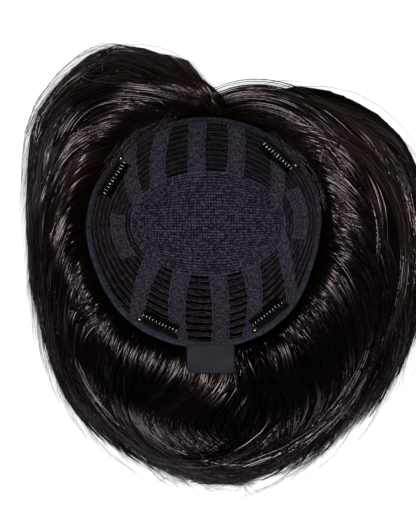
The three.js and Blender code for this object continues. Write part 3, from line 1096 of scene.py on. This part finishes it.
class TOPPER_OT_lace_straps(bpy.types.Operator):
    """Scalloped lace tapes from the crown panel to the binding and along the sides"""

    bl_idname = "topper.lace_straps"
    bl_label = "Lace straps"

    net_depth = 0.45 * MM
    cord_depth = 0.2 * MM
    ring_depth = 0.12 * MM
    spoke_depth = 0.1 * MM
    spoke_radius = 0.22 * MM
    fleck_arch = 0.15 * MM
    fleck_radius = 0.2 * MM

    def execute(self, context):
        cap = cap_now()
        cloth = context.scene.topper_cloth

        def out_strap(panel_angle, rim_angle):
            def spot(along, offset, depth):
                row = lerp(*STRAP_ROWS, along)
                middle = np.radians(lerp(panel_angle, rim_angle, row))
                radius = cap.row_share(middle, row) * cap.rim(middle)
                return cap.row_point(middle + offset / radius, row, depth)

            return spot

        def side_strap(from_angle, to_angle, row):
            def spot(along, offset, depth):
                angle = np.radians(lerp(from_angle, to_angle, along))
                reach = cap.rim(angle) - cap.panel(angle)
                return cap.row_point(angle, row + offset / reach, depth)

            return spot

        rng = np.random.default_rng(LACE_SEED)
        for name, panel_angle, rim_angle in STRAPS_OUT:
            self.strap(cloth, rng, name, cloth.strap_width, out_strap(panel_angle, rim_angle))
        for name, from_angle, to_angle, row in STRAPS_ROUND:
            self.strap(cloth, rng, name, cloth.side_strap_width, side_strap(from_angle, to_angle, row))
        return {"FINISHED"}

    def strap(self, cloth, rng, name, width, spot):
        middle = spot(np.linspace(0, 1, 40), np.zeros(40), 0.0)
        length = float(np.linalg.norm(np.diff(middle, axis=0), axis=1).sum())
        lobes = max(3, round(length / cloth.scallop))
        half = width / 2

        def half_width(along):
            return half * (0.84 + 0.16 * np.abs(np.sin(math.pi * lobes * along)) ** 0.6)

        def place(u, v):
            return spot(v, (2 * u - 1) * half_width(v) * 0.97, self.net_depth), 0.5

        bm = cloth_grid(10, lobes * 8, place)
        face_head(bm)
        piece = add_piece(f"lace_{name}", bm, lace_net, [f"strap_{name}"])
        add_wall(piece, LACE_WALL)
        motif = self.motifs(rng, name, lobes, length, half, half_width, spot)

    def motifs(self, rng, name, lobes, length, half, half_width, spot):
        """The raised threads: a cord along both edges, a ring with petals in each lobe, and loose flecks."""
        threads = Tubes()
        along = np.linspace(0, 1, lobes * 10 + 1)
        for share, radius, shade in LACE_CORDS:
            edges = [spot(along, side * share * half_width(along), self.cord_depth) for side in (-1, 1)]
            threads.add(np.stack(edges), radius * MM, circle(5), shade)
        centre = (np.arange(lobes)[:, None] + 0.5) / lobes

        def petal(reach, turn, depth):
            along_lobe = reach * half * 0.92 * np.sin(turn) / length
            return spot(centre + along_lobe, reach * half * np.cos(turn) + 0 * centre, depth)

        for ring, radius, points, shade in LACE_RINGS:
            turn = np.linspace(0, TURN, points, endpoint=False)[None, :]
            threads.add(petal(ring, turn, self.ring_depth), radius * MM, circle(5), shade, ring=True)
        for turn in np.arange(SPOKES) * TURN / SPOKES:
            spoke = petal(np.array([SPOKE_POINTS]), turn, self.spoke_depth)
            threads.add(spoke, self.spoke_radius, circle(4), 0.4)
        flecks = FLECKS * lobes
        step = np.array([[-1, 0, 1]])
        turn = rng.uniform(0, math.pi, (flecks, 1))
        reach = rng.uniform(0.35, 0.85, (flecks, 1)) * MM
        fleck = spot(
            rng.uniform(0.01, 0.99, (flecks, 1)) + step * reach * np.sin(turn) / length,
            rng.uniform(-0.8, 0.8, (flecks, 1)) * half + step * reach * np.cos(turn),
            self.fleck_arch * (step**2 - 1),
        )
        threads.add(fleck, self.fleck_radius, circle(3), rng.beta(1.2, 1.8, flecks))
        return add_piece(f"lace_motif_{name}", threads, lace_thread)


class TOPPER_OT_weft_rows(bpy.types.Operator):
    """Hair tracks: cords round the panel, bound with small thread stitches"""

    bl_idname = "topper.weft_rows"
    bl_label = "Weft rows"

    cord_points = 180
    first_stitches = 190
    more_each_row = 12
    stitch_depth = 1.25 * MM
    stitch_arch = 0.3 * MM
    stitch_radius = 0.2 * MM

    def execute(self, context):
        cap = cap_now()
        rows = context.scene.topper_cloth.weft_rows
        rng = np.random.default_rng(WEFT_SEED)
        for index in range(rows):
            row = lerp(*WEFT_SPAN, index / (rows - 1))
            track = Tubes()
            angle = np.linspace(0, TURN, self.cord_points, endpoint=False)
            for shift, depth, sunk, radius in WEFT_CORDS:
                wobble = 0.004 * np.sin(31 * angle + 9 * index) + rng.normal(0, 0.002, len(angle))
                own_depth = depth + sunk * np.clip(-np.sin(angle), 0, 1)
                cord = cap.row_point(angle, row + shift + wobble, own_depth * MM)
                # Painted shade: the cords are darker towards the front of the cap and lighter at the nape;
                # the random part varies from thread to thread.
                worn_and_shaded = rng.beta(0.6, 2.2, (1, len(angle))) * (1.15 - 0.72 * np.sin(angle))
                track.add(cord[None], radius * MM, circle(5), worn_and_shaded, ring=True)
            count = self.first_stitches + self.more_each_row * index
            at = np.linspace(0, TURN, count, endpoint=False) + rng.uniform(-0.006, 0.006, count)
            front = np.clip(0.3 + np.sin(at), 0, 1)
            slant = rng.normal(0.004, 0.004, count)
            across = np.linspace(-1, 1, 4)[None, :]
            length = (rng.uniform(0.02, 0.04, count) + 0.015 * front)[:, None]
            arch = self.stitch_depth - self.stitch_arch * (1 - across**2)
            stitch = cap.row_point(at[:, None] + slant[:, None] * across, row + length * across, arch)
            # Painted shade: the stitches are darker towards the front of the cap; the random part varies from
            # stitch to stitch.
            worn_and_shaded = rng.beta(1.0, 2.4, count) * (1.1 - 0.4 * front)
            track.add(stitch, self.stitch_radius, circle(3), worn_and_shaded)
            add_piece(f"track_{index + 1}", track, weft_thread, [f"weft_row_{index + 1}"])
        return {"FINISHED"}


class TOPPER_OT_edge_binding(bpy.types.Operator):
    """Tape folded over the rim, sewn through with one line of stitches"""

    bl_idname = "topper.edge_binding"
    bl_label = "Edge binding"

    middle_row = 0.976
    half_rows = 0.036
    middle_depth = 0.9 * MM
    half_depth = 1.25 * MM
    corner = 0.62
    seam_row = 0.955
    stitches = 170
    half_stitch = 0.0125
    stitch_radius = 0.19 * MM

    def execute(self, context):
        cap = cap_now()

        def fold(u, v):
            angle = TURN * u
            round_it = TURN * v
            across = np.sign(np.cos(round_it)) * np.abs(np.cos(round_it)) ** self.corner
            through = np.sign(np.sin(round_it)) * np.abs(np.sin(round_it)) ** self.corner
            pucker = 0.1 * MM * np.sin(97 * angle) + 0.12 * MM * np.sin(41 * angle + 1)
            row = self.middle_row + self.half_rows * across + 0.003 * np.sin(23 * angle)
            # Painted shade: the tape is darker towards the front of the cap and lighter at the nape.
            shade = 0.5 - 0.35 * np.sin(angle)
            depth = self.middle_depth + self.half_depth * through + pucker * (through < 0)
            return cap.row_point(angle, row, depth), shade

        bm = cloth_grid(300, 16, fold, closed=True)
        piece = add_piece("binding_tape", bm, binding_tape, ["edge_binding"])

        seam = Tubes()
        at = np.linspace(0, TURN, self.stitches, endpoint=False)[:, None]
        across = np.linspace(-1, 1, 5)[None, :]
        dip = (-0.6 + 0.45 * across**2) * MM
        stitch = cap.row_point(at + across * self.half_stitch, self.seam_row + 0 * across, dip)
        seam.add(stitch, self.stitch_radius, circle(4), 0.5)
        stitches = add_piece("binding_seam", seam, lace_thread)
        return {"FINISHED"}


class TOPPER_OT_comb_clips(bpy.types.Operator):
    """Lacquered snap clips with arched wire teeth, each with a brass rivet at one end"""

    bl_idname = "topper.comb_clips"
    bl_label = "Comb clips"

    length = 32 * MM
    bar = 4.2 * MM
    plate = 0.8 * MM
    end_round = 0.48 * bar
    edge_round = 0.22 * MM
    lift = 2.8 * MM
    teeth = 11
    pitch = 2.5 * MM
    tooth_span = (0.4 * MM, 11.2 * MM)
    tooth_foot = 0.3 * MM
    front_rise = 5 * MM
    back_rise = 2.4 * MM
    wire = 0.52 * MM
    rivet = 13.6 * MM
    rivet_post = 0.75 * MM
    rivet_head = 1.75 * MM

    def execute(self, context):
        cap = cap_now()
        for name, degrees in CLIPS:
            seat = self.seat(cap, math.radians(degrees))
            self.comb(name, seat)
            self.dome(name, seat)
        return {"FINISHED"}

    def seat(self, cap, angle):
        """Own frame of a clip: X along its bar, Y to the crown and Z to the head."""
        angle = np.array(angle)
        inward = -cap.outward(angle, cap.row_share(angle, CLIP_ROW))
        to_crown = cap.row_point(angle, CLIP_ROW - 0.1, 0.0) - cap.row_point(angle, CLIP_ROW, 0.0)
        to_crown = unit(to_crown - inward * np.dot(to_crown, inward))
        along = np.cross(to_crown, inward)
        place = Matrix(np.stack([along, to_crown, inward], axis=1).tolist()).to_4x4()
        place.translation = cap.row_point(angle, CLIP_ROW, -self.lift).tolist()
        return place

    def comb(self, name, seat):
        bm = bmesh.new()
        size = (self.length, self.bar, self.plate, 1)
        bmesh.ops.create_cube(bm, size=1, matrix=Matrix.Diagonal(size))
        bmesh.ops.translate(bm, verts=bm.verts, vec=(0, 0, self.plate / 2))
        upright = [edge for edge in bm.edges if abs((edge.verts[0].co - edge.verts[1].co).z) > self.plate / 2]
        rounding = {"affect": "EDGES", "profile": 0.5, "material": -1}
        bmesh.ops.bevel(bm, geom=upright, offset=self.end_round, segments=6, **rounding)
        rim = [edge for edge in bm.edges if abs(edge.calc_face_angle(0)) > 1.2]
        bmesh.ops.bevel(bm, geom=rim, offset=self.edge_round, segments=2, **rounding)
        bmesh.ops.transform(bm, matrix=seat, verts=bm.verts)
        add_piece(f"comb_{name}", bm, clip_lacquer, [f"clip_{name}"])

        rows = (
            ("teeth", self.teeth, self.front_rise, tooth_steel),
            ("back_teeth", self.teeth - 1, self.back_rise, clip_lacquer),
        )
        for kind, teeth, rise, finish in rows:
            wires = Tubes()
            x = (np.arange(teeth) - (teeth - 1) / 2)[:, None] * self.pitch
            along = np.linspace(0, 1, 14)[None, :]
            arch = self.tooth_foot + rise * np.sin(math.pi * along)
            wires.add(self.seated(seat, x, lerp(*self.tooth_span, along), arch), self.wire, circle(6))
            add_piece(f"comb_{kind}_{name}", wires, finish)

    def seated(self, seat, x, y, z):
        own = np.stack(np.broadcast_arrays(x, y, z), axis=-1)
        turn = np.array(seat.to_3x3())
        return own @ turn.T + np.array(seat.translation)

    def dome(self, name, seat):
        foot = -0.5 * MM
        brim = self.plate + 0.3 * MM
        shoulder = brim + 0.15 * MM
        bulge = 0.75 * MM
        profile = [(0, foot), (self.rivet_post, foot), (self.rivet_post, brim), (self.rivet_head, brim)]
        for turn in np.linspace(0, 1.5, 6):
            profile.append((self.rivet_head * math.cos(turn), shoulder + bulge * math.sin(turn)))
        profile.append((0, shoulder + bulge))
        bm = bmesh.new()
        line = [bm.verts.new((radius, 0, height)) for radius, height in profile]
        edges = [bm.edges.new(pair) for pair in zip(line, line[1:])]
        bmesh.ops.spin(
            bm, geom=line + edges, cent=(0, 0, 0), axis=(0, 0, 1), angle=TURN, steps=20, use_merge=True
        )
        bmesh.ops.remove_doubles(bm, verts=bm.verts, dist=1e-6)
        bmesh.ops.recalc_face_normals(bm, faces=bm.faces)
        bmesh.ops.translate(bm, verts=bm.verts, vec=(-self.rivet, 0, 0))
        bmesh.ops.transform(bm, matrix=seat, verts=bm.verts)
        add_piece(f"rivet_dome_{name}", bm, rivet_brass, [f"rivet_{name}"])


class TOPPER_OT_label(bpy.types.Operator):
    """Bare satin tab under the nape edge, with one corner turned up"""

    bl_idname = "topper.label"
    bl_label = "Label"

    lift = 1 * MM
    ripple = 0.6 * MM
    hem_rise = 0.15 * MM
    corner_rise = 2.2 * MM
    corner_pull = (2 * MM, 1.5 * MM)

    def execute(self, context):
        cloth = context.scene.topper_cloth
        label = Label(cap_now(), cloth)

        def place(u, v):
            along = 1 - v
            x = label.x + (u - 0.5) * label.width
            y = label.root[1] - along * label.length
            hem = ramp(np.abs(u - 0.5), 0.45, 0.48)
            corner = np.clip((along - 0.72) / 0.28 + (0.16 - u) / 0.16 - 0.9, 0, 1)
            ripple = self.ripple * np.sin(7 * u + 3 * along) * along
            turned_up = self.corner_rise * corner**2
            z = label.height(along) + self.lift + ripple + turned_up + self.hem_rise * hem
            fold = np.sin(7 * u + 3 * along) * np.sin(5 * along - 2 * u)
            # Painted shade where the tab goes under the binding, and painted light and shade along its
            # ripples and on its turned-up corner; its hems are darker.
            shade = 0.34 - 0.14 * hem + 0.12 * corner + 0.16 * fold - 0.2 * np.exp(-along / 0.08)
            pull_x, pull_y = self.corner_pull
            return np.stack([x + pull_x * corner**2, y + pull_y * corner**2, z], axis=-1), shade

        bm = cloth_grid(48, 32, place)
        face_head(bm)
        piece = add_piece("label_tab", bm, label_satin, ["label"])
        add_wall(piece, LABEL_WALL)
        return {"FINISHED"}


class TOPPER_OT_hair_body(bpy.types.Operator):
    """The hair's inner body: soft locks and a backing, fused, that the strands lie on"""

    bl_idname = "topper.hair_body"
    bl_label = "Hair body"

    voxel = 3.2 * MM

    def execute(self, context):
        cap = cap_now()
        flow = HairFlow(cap)
        label = Label(cap, context.scene.topper_cloth)
        bm = bmesh.new()
        self.backing(bm, cap)
        for count, first, start, reach, *levels, width, depth in LOCK_LAYERS:
            for index in range(count):
                root = first + 360 * index / count
                self.lock(bm, flow, root, start, reach, np.array(levels) * MM, width * MM, depth * MM)
        bulk = bpy.data.objects.new("hair_bulk", bmesh_mesh("hair_bulk", bm))
        context.scene.collection.objects.link(bulk)
        fuse = bulk.modifiers.new("Fuse", "REMESH")
        fuse.mode = "VOXEL"
        fuse.voxel_size = self.voxel
        smooth = bulk.modifiers.new("Smooth", "SMOOTH")
        smooth.iterations = 3
        shaped = bulk.evaluated_get(context.evaluated_depsgraph_get())
        mesh = bpy.data.meshes.new_from_object(shaped)
        bpy.data.objects.remove(bulk)

        points = np.empty(len(mesh.vertices) * 3, dtype=np.float32)
        mesh.vertices.foreach_get("co", points)
        points = points.reshape(-1, 3).astype(float)
        points[:, 2] = np.maximum(points[:, 2], 0.2 * MM)
        points = clear_of(cap, label, points, BODY_GAPS)
        mesh.vertices.foreach_set("co", points.astype(np.float32).ravel())
        mesh.update()
        mesh.shade_smooth()
        mesh.name = "hair_body"
        add_piece("hair_body", mesh, hair_underside, ["hair"])
        return {"FINISHED"}

    def backing(self, bm, cap):
        made = bmesh.ops.create_uvsphere(bm, u_segments=48, v_segments=24, radius=1)
        heights, shares = np.array(BACKING).T
        for vertex in made["verts"]:
            x, y, z = vertex.co
            angle = math.atan2(y, x)
            height = lerp(heights[0], heights[-1], (z + 1) / 2)
            share = np.interp(height, heights, shares) * min(1, 3 * math.hypot(x, y))
            radius = float(cap.rim(angle) * share)
            vertex.co = (radius * math.cos(angle), radius * math.sin(angle), height * MM)

    def lock(self, bm, flow, root, start, reach, levels, width, depth):
        made = bmesh.ops.create_uvsphere(bm, u_segments=16, v_segments=18, radius=1)["verts"]
        ball = np.array([vertex.co for vertex in made])
        along = np.arccos(np.clip(-ball[:, 2], -1, 1)) / math.pi
        ring = np.hypot(ball[:, 0], ball[:, 1])
        around = np.arctan2(ball[:, 1], ball[:, 0])
        small = 0.01
        middle = flow.lock(root, along, levels, start, reach)
        ahead = flow.lock(root, along + small, levels, start, reach) - middle
        side = unit(np.cross(ahead, np.array([0, 0, 1.0])))
        taper = np.sqrt(ring) * np.sin(math.pi * lerp(0.2, 0.95, along))
        points = middle + side * (np.cos(around) * taper * width / 2)[:, None]
        points[:, 2] += np.sin(around) * taper * depth / 2
        for vertex, point in zip(made, points):
            vertex.co = point


class TOPPER_OT_hair_strands(bpy.types.Operator):
    """Strands combed from the cap over the body: they leave the rim, crest, fall and sweep to the nape"""

    bl_idname = "topper.hair_strands"
    bl_label = "Hair strands"

    def execute(self, context):
        hair = context.scene.topper_hair
        cap = cap_now()
        flow = HairFlow(cap)
        label = Label(cap, context.scene.topper_cloth)
        rng = np.random.default_rng(hair.seed)
        for name, strands, locks, levels, roots, sweeps, thick in STRAND_LAYERS:
            along = np.linspace(0, 1, hair.steps) ** 1.35
            paths, shade, roll = self.combed(flow, rng, strands, locks, levels, roots, sweeps, along)
            paths = self.settled(cap, label, paths, hair.strand)
            radii = thick * hair.strand * rng.uniform(*THICKNESSES, strands)[:, None] * self.taper(along)
            tubes = Tubes()
            tubes.add(paths, radii, RIBBON, shade, roll=roll, creased=True)
            fibre = hair_fibre if levels[1] > TOP_LEVEL else hair_fibre_in_the_shade
            add_piece(f"hair_{name}", tubes, fibre)
        self.loose_locks(flow, label, rng, hair)
        self.fringe(cap, rng)
        self.flyaways(flow, label, rng, hair)
        return {"FINISHED"}

    def taper(self, along):
        """A strand thickens from its root and thins to its tip."""
        return np.minimum(1, 0.5 + 4 * along) * np.clip((1.03 - along) / 0.25, 0.3, 1)

    def combed(self, flow, rng, strands, locks, levels, roots, sweeps, along):
        """Strands in clumps and clumps in locks: loose at the root and drawn in towards the tip."""
        low_root, high_root = roots
        lock_width = (high_root - low_root) / locks
        lock_root = low_root + lock_width * (np.arange(locks) + 0.5 + rng.uniform(-0.25, 0.25, locks))
        lock_swing = flow.at(flow.sweep, lock_root)[0]
        middle = {
            "sweep": rng.uniform(*sweeps, locks),
            "level": rng.uniform(*levels, locks),
            "shade": lerp(*LOCK_SHADES, (lock_swing / 110) ** 2),
        }
        clumps = locks * CLUMPS
        own_lock = np.arange(clumps) // CLUMPS
        own = np.arange(strands) % clumps
        value = {}
        for name, (by_lock, by_clump, _) in VARIETY.items():
            lock_value = middle.get(name, 0) + rng.normal(0, by_lock, locks)
            value[name] = (lock_value[own_lock] + rng.normal(0, by_clump, clumps))[own][:, None]
        inner = np.maximum(rng.uniform(-0.7, 1, locks), 0)[own_lock][own][:, None] * (levels[1] > TOP_LEVEL)

        def by_strand(name):
            return rng.normal(0, VARIETY[name][2], strands)[:, None]

        root = lock_root[own_lock][own][:, None]
        swing = flow.at(flow.sweep, root)[0]
        clump_aside = (np.arange(clumps) % CLUMPS - CLUMPS // 2) * lock_width / CLUMPS
        clump_aside = clump_aside + rng.normal(0, 0.1 * lock_width, clumps)
        strand_aside = rng.normal(0, 0.2 * lock_width, strands)[:, None]
        along = along[None, :] * rng.uniform(0.84, 1.0, strands)[:, None]
        drawn = clump_aside[own][:, None] * (1 - 0.45 * along) + strand_aside * (1 - 0.8 * along)
        wander = by_strand("sway") * np.sin(math.pi * along * 1.3)
        curve = value["sway"] * np.sin(math.pi * along * 1.6) * along

        level = np.clip(value["level"] + by_strand("level"), 0, 1.02)
        start = lerp(*STARTS, np.sqrt(level)) + rng.uniform(0, 0.012, strands)[:, None]
        reach = lerp(*REACHES, level) + value["reach"] + by_strand("reach")
        reach = np.minimum(reach, 1.03) - FRONT_CUT * inner * ramp(np.abs(swing), 45, 90)
        reach = reach - NAPE_CUT * ramp(np.abs(swing), 20, 0)
        angle, radius = flow.strand(root, along, start, reach, drawn + wander + curve, value["sweep"])
        own_rise = by_strand("rise") * (1 - 0.7 * along)
        side = ramp(np.abs(swing), *SIDE_SWING)
        heights = [
            (lerp(low_z, high_z + side * side_z, level) + lift * value["rise"] + own_rise) * MM
            for low_z, high_z, side_z, lift in STRAND_HEIGHTS
        ]
        away = flow.past_rim(angle, radius)
        height = flow.drape(angle, away, heights, value["shift"] + by_strand("shift"))
        aside = drawn * 2 / lock_width
        free = ramp(away, 0, FREE_FROM)
        height -= LOCK_DIP * MM * level * np.minimum(aside**2, 1.5) * free
        phase = (rng.uniform(0, TURN, locks)[own_lock] + rng.normal(0, 0.4, clumps))[own][:, None]
        swept = side * ramp(np.abs(swing), 115, 100)
        height += WAVE * MM * level * swept * free * np.sin(TURN * WAVES * along + phase)
        paths = polar(angle, radius, height)
        own_roll = value["roll"] + by_strand("roll")
        lock_roll = LOCK_ROLL * np.clip(aside, -1.5, 1.5) * free
        roll = own_roll + lock_roll + self.lean(flow, paths, angle, away, heights, value["shift"])
        return paths, np.clip(value["shade"] + by_strand("shade"), 0, 1)[:, 0], roll

    def lean(self, flow, paths, angle, away, heights, shift):
        """How far a strand that runs across the hair's slope leans with it."""
        small = 0.5 * MM
        outer = flow.drape(angle, away + small, heights, shift)
        slope = (outer - flow.drape(angle, away - small, heights, shift)) / (2 * small)
        ahead_x, ahead_y, _ = np.moveaxis(np.gradient(paths, axis=1), -1, 0)
        across = (ahead_y * np.cos(angle) - ahead_x * np.sin(angle)) / np.hypot(ahead_x, ahead_y)
        tilt = flow.at(flow.ring, np.degrees(angle))[2]
        return np.clip(np.arctan((slope + tilt) * across), -LEAN, LEAN)

    def loose_locks(self, flow, label, rng, hair):
        """Locks with a bend of their own that lie over the others."""
        tubes = Tubes()
        heights = [height * MM for height in TOP_HEIGHTS]
        for strands, width, lift, shift, route in LOOSE_LOCKS:
            station = np.linspace(0, 1, len(route))
            along = np.linspace(0, 1, hair.steps)[None, :] * rng.uniform(0.85, 1, strands)[:, None]
            out, degrees = (
                np.polyval(np.polyfit(station, values, 4), along) for values in np.array(route, dtype=float).T
            )
            aside = np.clip(rng.normal(0, 0.55, strands), -1.3, 1.3)[:, None]
            place = polar(np.radians(degrees), out * MM, 0 * out)[..., :2]
            ahead = unit(np.gradient(place, axis=1))
            fray = rng.normal(0, 3, strands)[:, None] * along**2
            spread = (aside * lerp(0.4, 0.6, along) * width + fray) * MM
            place = place + np.stack([-ahead[..., 1], ahead[..., 0]], axis=-1) * spread[..., None]
            angle = np.arctan2(place[..., 1], place[..., 0])
            away = flow.past_rim(angle, np.hypot(place[..., 0], place[..., 1]))
            own_shift = shift + rng.normal(0, 1.5, strands)[:, None]
            height = flow.drape(angle, away, heights, own_shift)
            emerging = lerp(min(lift, -1), lift, np.clip(3 * along, 0, 1))
            height += (emerging - 2.5 * aside**2 + rng.normal(0, 0.4, strands)[:, None]) * MM
            paths = np.concatenate([place, height[..., None]], axis=-1)
            radii = hair.strand * rng.uniform(0.5, 1.3, strands)[:, None] * self.taper(along)
            roll = LOCK_ROLL * aside + rng.normal(0, 0.45, strands)[:, None]
            roll = roll + self.lean(flow, paths, angle, away, heights, own_shift)
            shade = np.clip(rng.normal(0.2, 0.2, strands), 0, 1)
            paths = self.settled(flow.cap, label, paths, hair.strand)
            tubes.add(paths, radii, RIBBON, shade, roll=roll, creased=True)
        add_piece("hair_loose_locks", tubes, hair_fibre)

    def settled(self, cap, label, paths, thick):
        """Strands kept under the label, outside the cap and over the table."""
        paths = clear_of(cap, label, paths, STRAND_GAPS)
        paths[..., 2] = np.maximum(paths[..., 2], thick)
        return paths

    def fringe(self, cap, rng):
        """Loose strands at the front that lie over the binding."""
        along = np.linspace(0, 1, 14)[None, :]
        tubes = Tubes()
        for low, high, turn, count in FRINGE:
            root = rng.uniform(low, high, count)[:, None]
            angle = np.radians(root + turn * rng.uniform(0.6, 1.2, count)[:, None] * along)
            inside = rng.uniform(*FRINGE_MIDDLE, count)[:, None]
            outside = rng.uniform(*FRINGE_ENDS, (2, count))[:, :, None]
            bend = np.sin(math.pi * along) ** 1.5
            share = lerp(lerp(outside[0], outside[1], along), inside, bend)
            height = lerp(44, rng.uniform(48.5, 50.5, count)[:, None], bend) - 9 * np.maximum(along - 0.7, 0)
            paths = polar(angle, cap.rim(angle) * share, height * MM)
            taper = np.clip((1.05 - along) / 0.5, 0.3, 1)
            tubes.add(paths, FRINGE_RADIUS * taper, circle(3), 0.3)
        add_piece("hair_fringe", tubes, hair_fibre)

    def flyaways(self, flow, label, rng, hair):
        """Single fine strands that lie on the hair and stand out past its edge."""
        along = np.linspace(0, 1, 13)[None, :] * rng.uniform(0.8, 1.02, FLYAWAYS)[:, None]
        root = rng.uniform(FIRST_ROOT, FIRST_ROOT + 360, FLYAWAYS)[:, None]
        sway = rng.normal(0, 7, FLYAWAYS)[:, None] * along**1.5
        reach, sweep, lift = (rng.uniform(*limits, FLYAWAYS)[:, None] for limits in FLYAWAY_SPREAD)
        levels = [(level + lift) * MM for level in TOP_HEIGHTS]
        angle, radius = flow.strand(root, along, STRAND_ROOT, reach, sway, sweep)
        paths = polar(angle, radius, flow.drape(angle, flow.past_rim(angle, radius), levels, 0))
        paths = self.settled(flow.cap, label, paths, hair.strand)
        taper = np.clip((1.05 - along) / 0.4, 0.3, 1)
        tubes = Tubes()
        tubes.add(paths, FLYAWAY_RADIUS * taper, circle(3), rng.uniform(0.2, 1, FLYAWAYS))
        add_piece("hair_flyaways", tubes, hair_fibre)


class TOPPER_PT_pieces(bpy.types.Panel):
    """The topper's pieces, in the order they are made"""

    bl_label = "Hair Topper"
    bl_idname = "TOPPER_PT_pieces"
    bl_space_type = "VIEW_3D"
    bl_region_type = "UI"
    bl_category = "Topper"

    def draw(self, context):
        for operator in OPERATORS:
            self.layout.operator(operator.bl_idname)
        for settings, group in SETTINGS:
            box = self.layout.box()
            for label in group.__annotations__:
                box.prop(getattr(context.scene, settings), label)


OPERATORS = (
    TOPPER_OT_stage,
    TOPPER_OT_crown_panel,
    TOPPER_OT_lace_straps,
    TOPPER_OT_weft_rows,
    TOPPER_OT_edge_binding,
    TOPPER_OT_comb_clips,
    TOPPER_OT_label,
    TOPPER_OT_hair_body,
    TOPPER_OT_hair_strands,
)
SETTINGS = (
    ("topper_cap", TopperCap),
    ("topper_cloth", TopperCloth),
    ("topper_hair", TopperHair),
    ("topper_stage", TopperStage),
)
CLASSES = (*(group for _, group in SETTINGS), *OPERATORS, TOPPER_PT_pieces)


def register():
    for item in CLASSES:
        bpy.utils.register_class(item)
    for label, group in SETTINGS:
        setattr(bpy.types.Scene, label, PointerProperty(type=group))


def unregister():
    for label, _ in SETTINGS:
        delattr(bpy.types.Scene, label)
    for item in reversed(CLASSES):
        bpy.utils.unregister_class(item)


def main():
    register()
    bpy.ops.topper.stage()
    bpy.ops.topper.crown_panel()
    bpy.ops.topper.lace_straps()
    bpy.ops.topper.weft_rows()
    bpy.ops.topper.edge_binding()
    bpy.ops.topper.comb_clips()
    bpy.ops.topper.label()
    bpy.ops.topper.hair_body()
    bpy.ops.topper.hair_strands()
    boxes = {"cad": CAD_BOX, "visual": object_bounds()}
    {name: np.array(box).tolist() for name, box in boxes.items()}


if __name__ == "__main__":
    main()
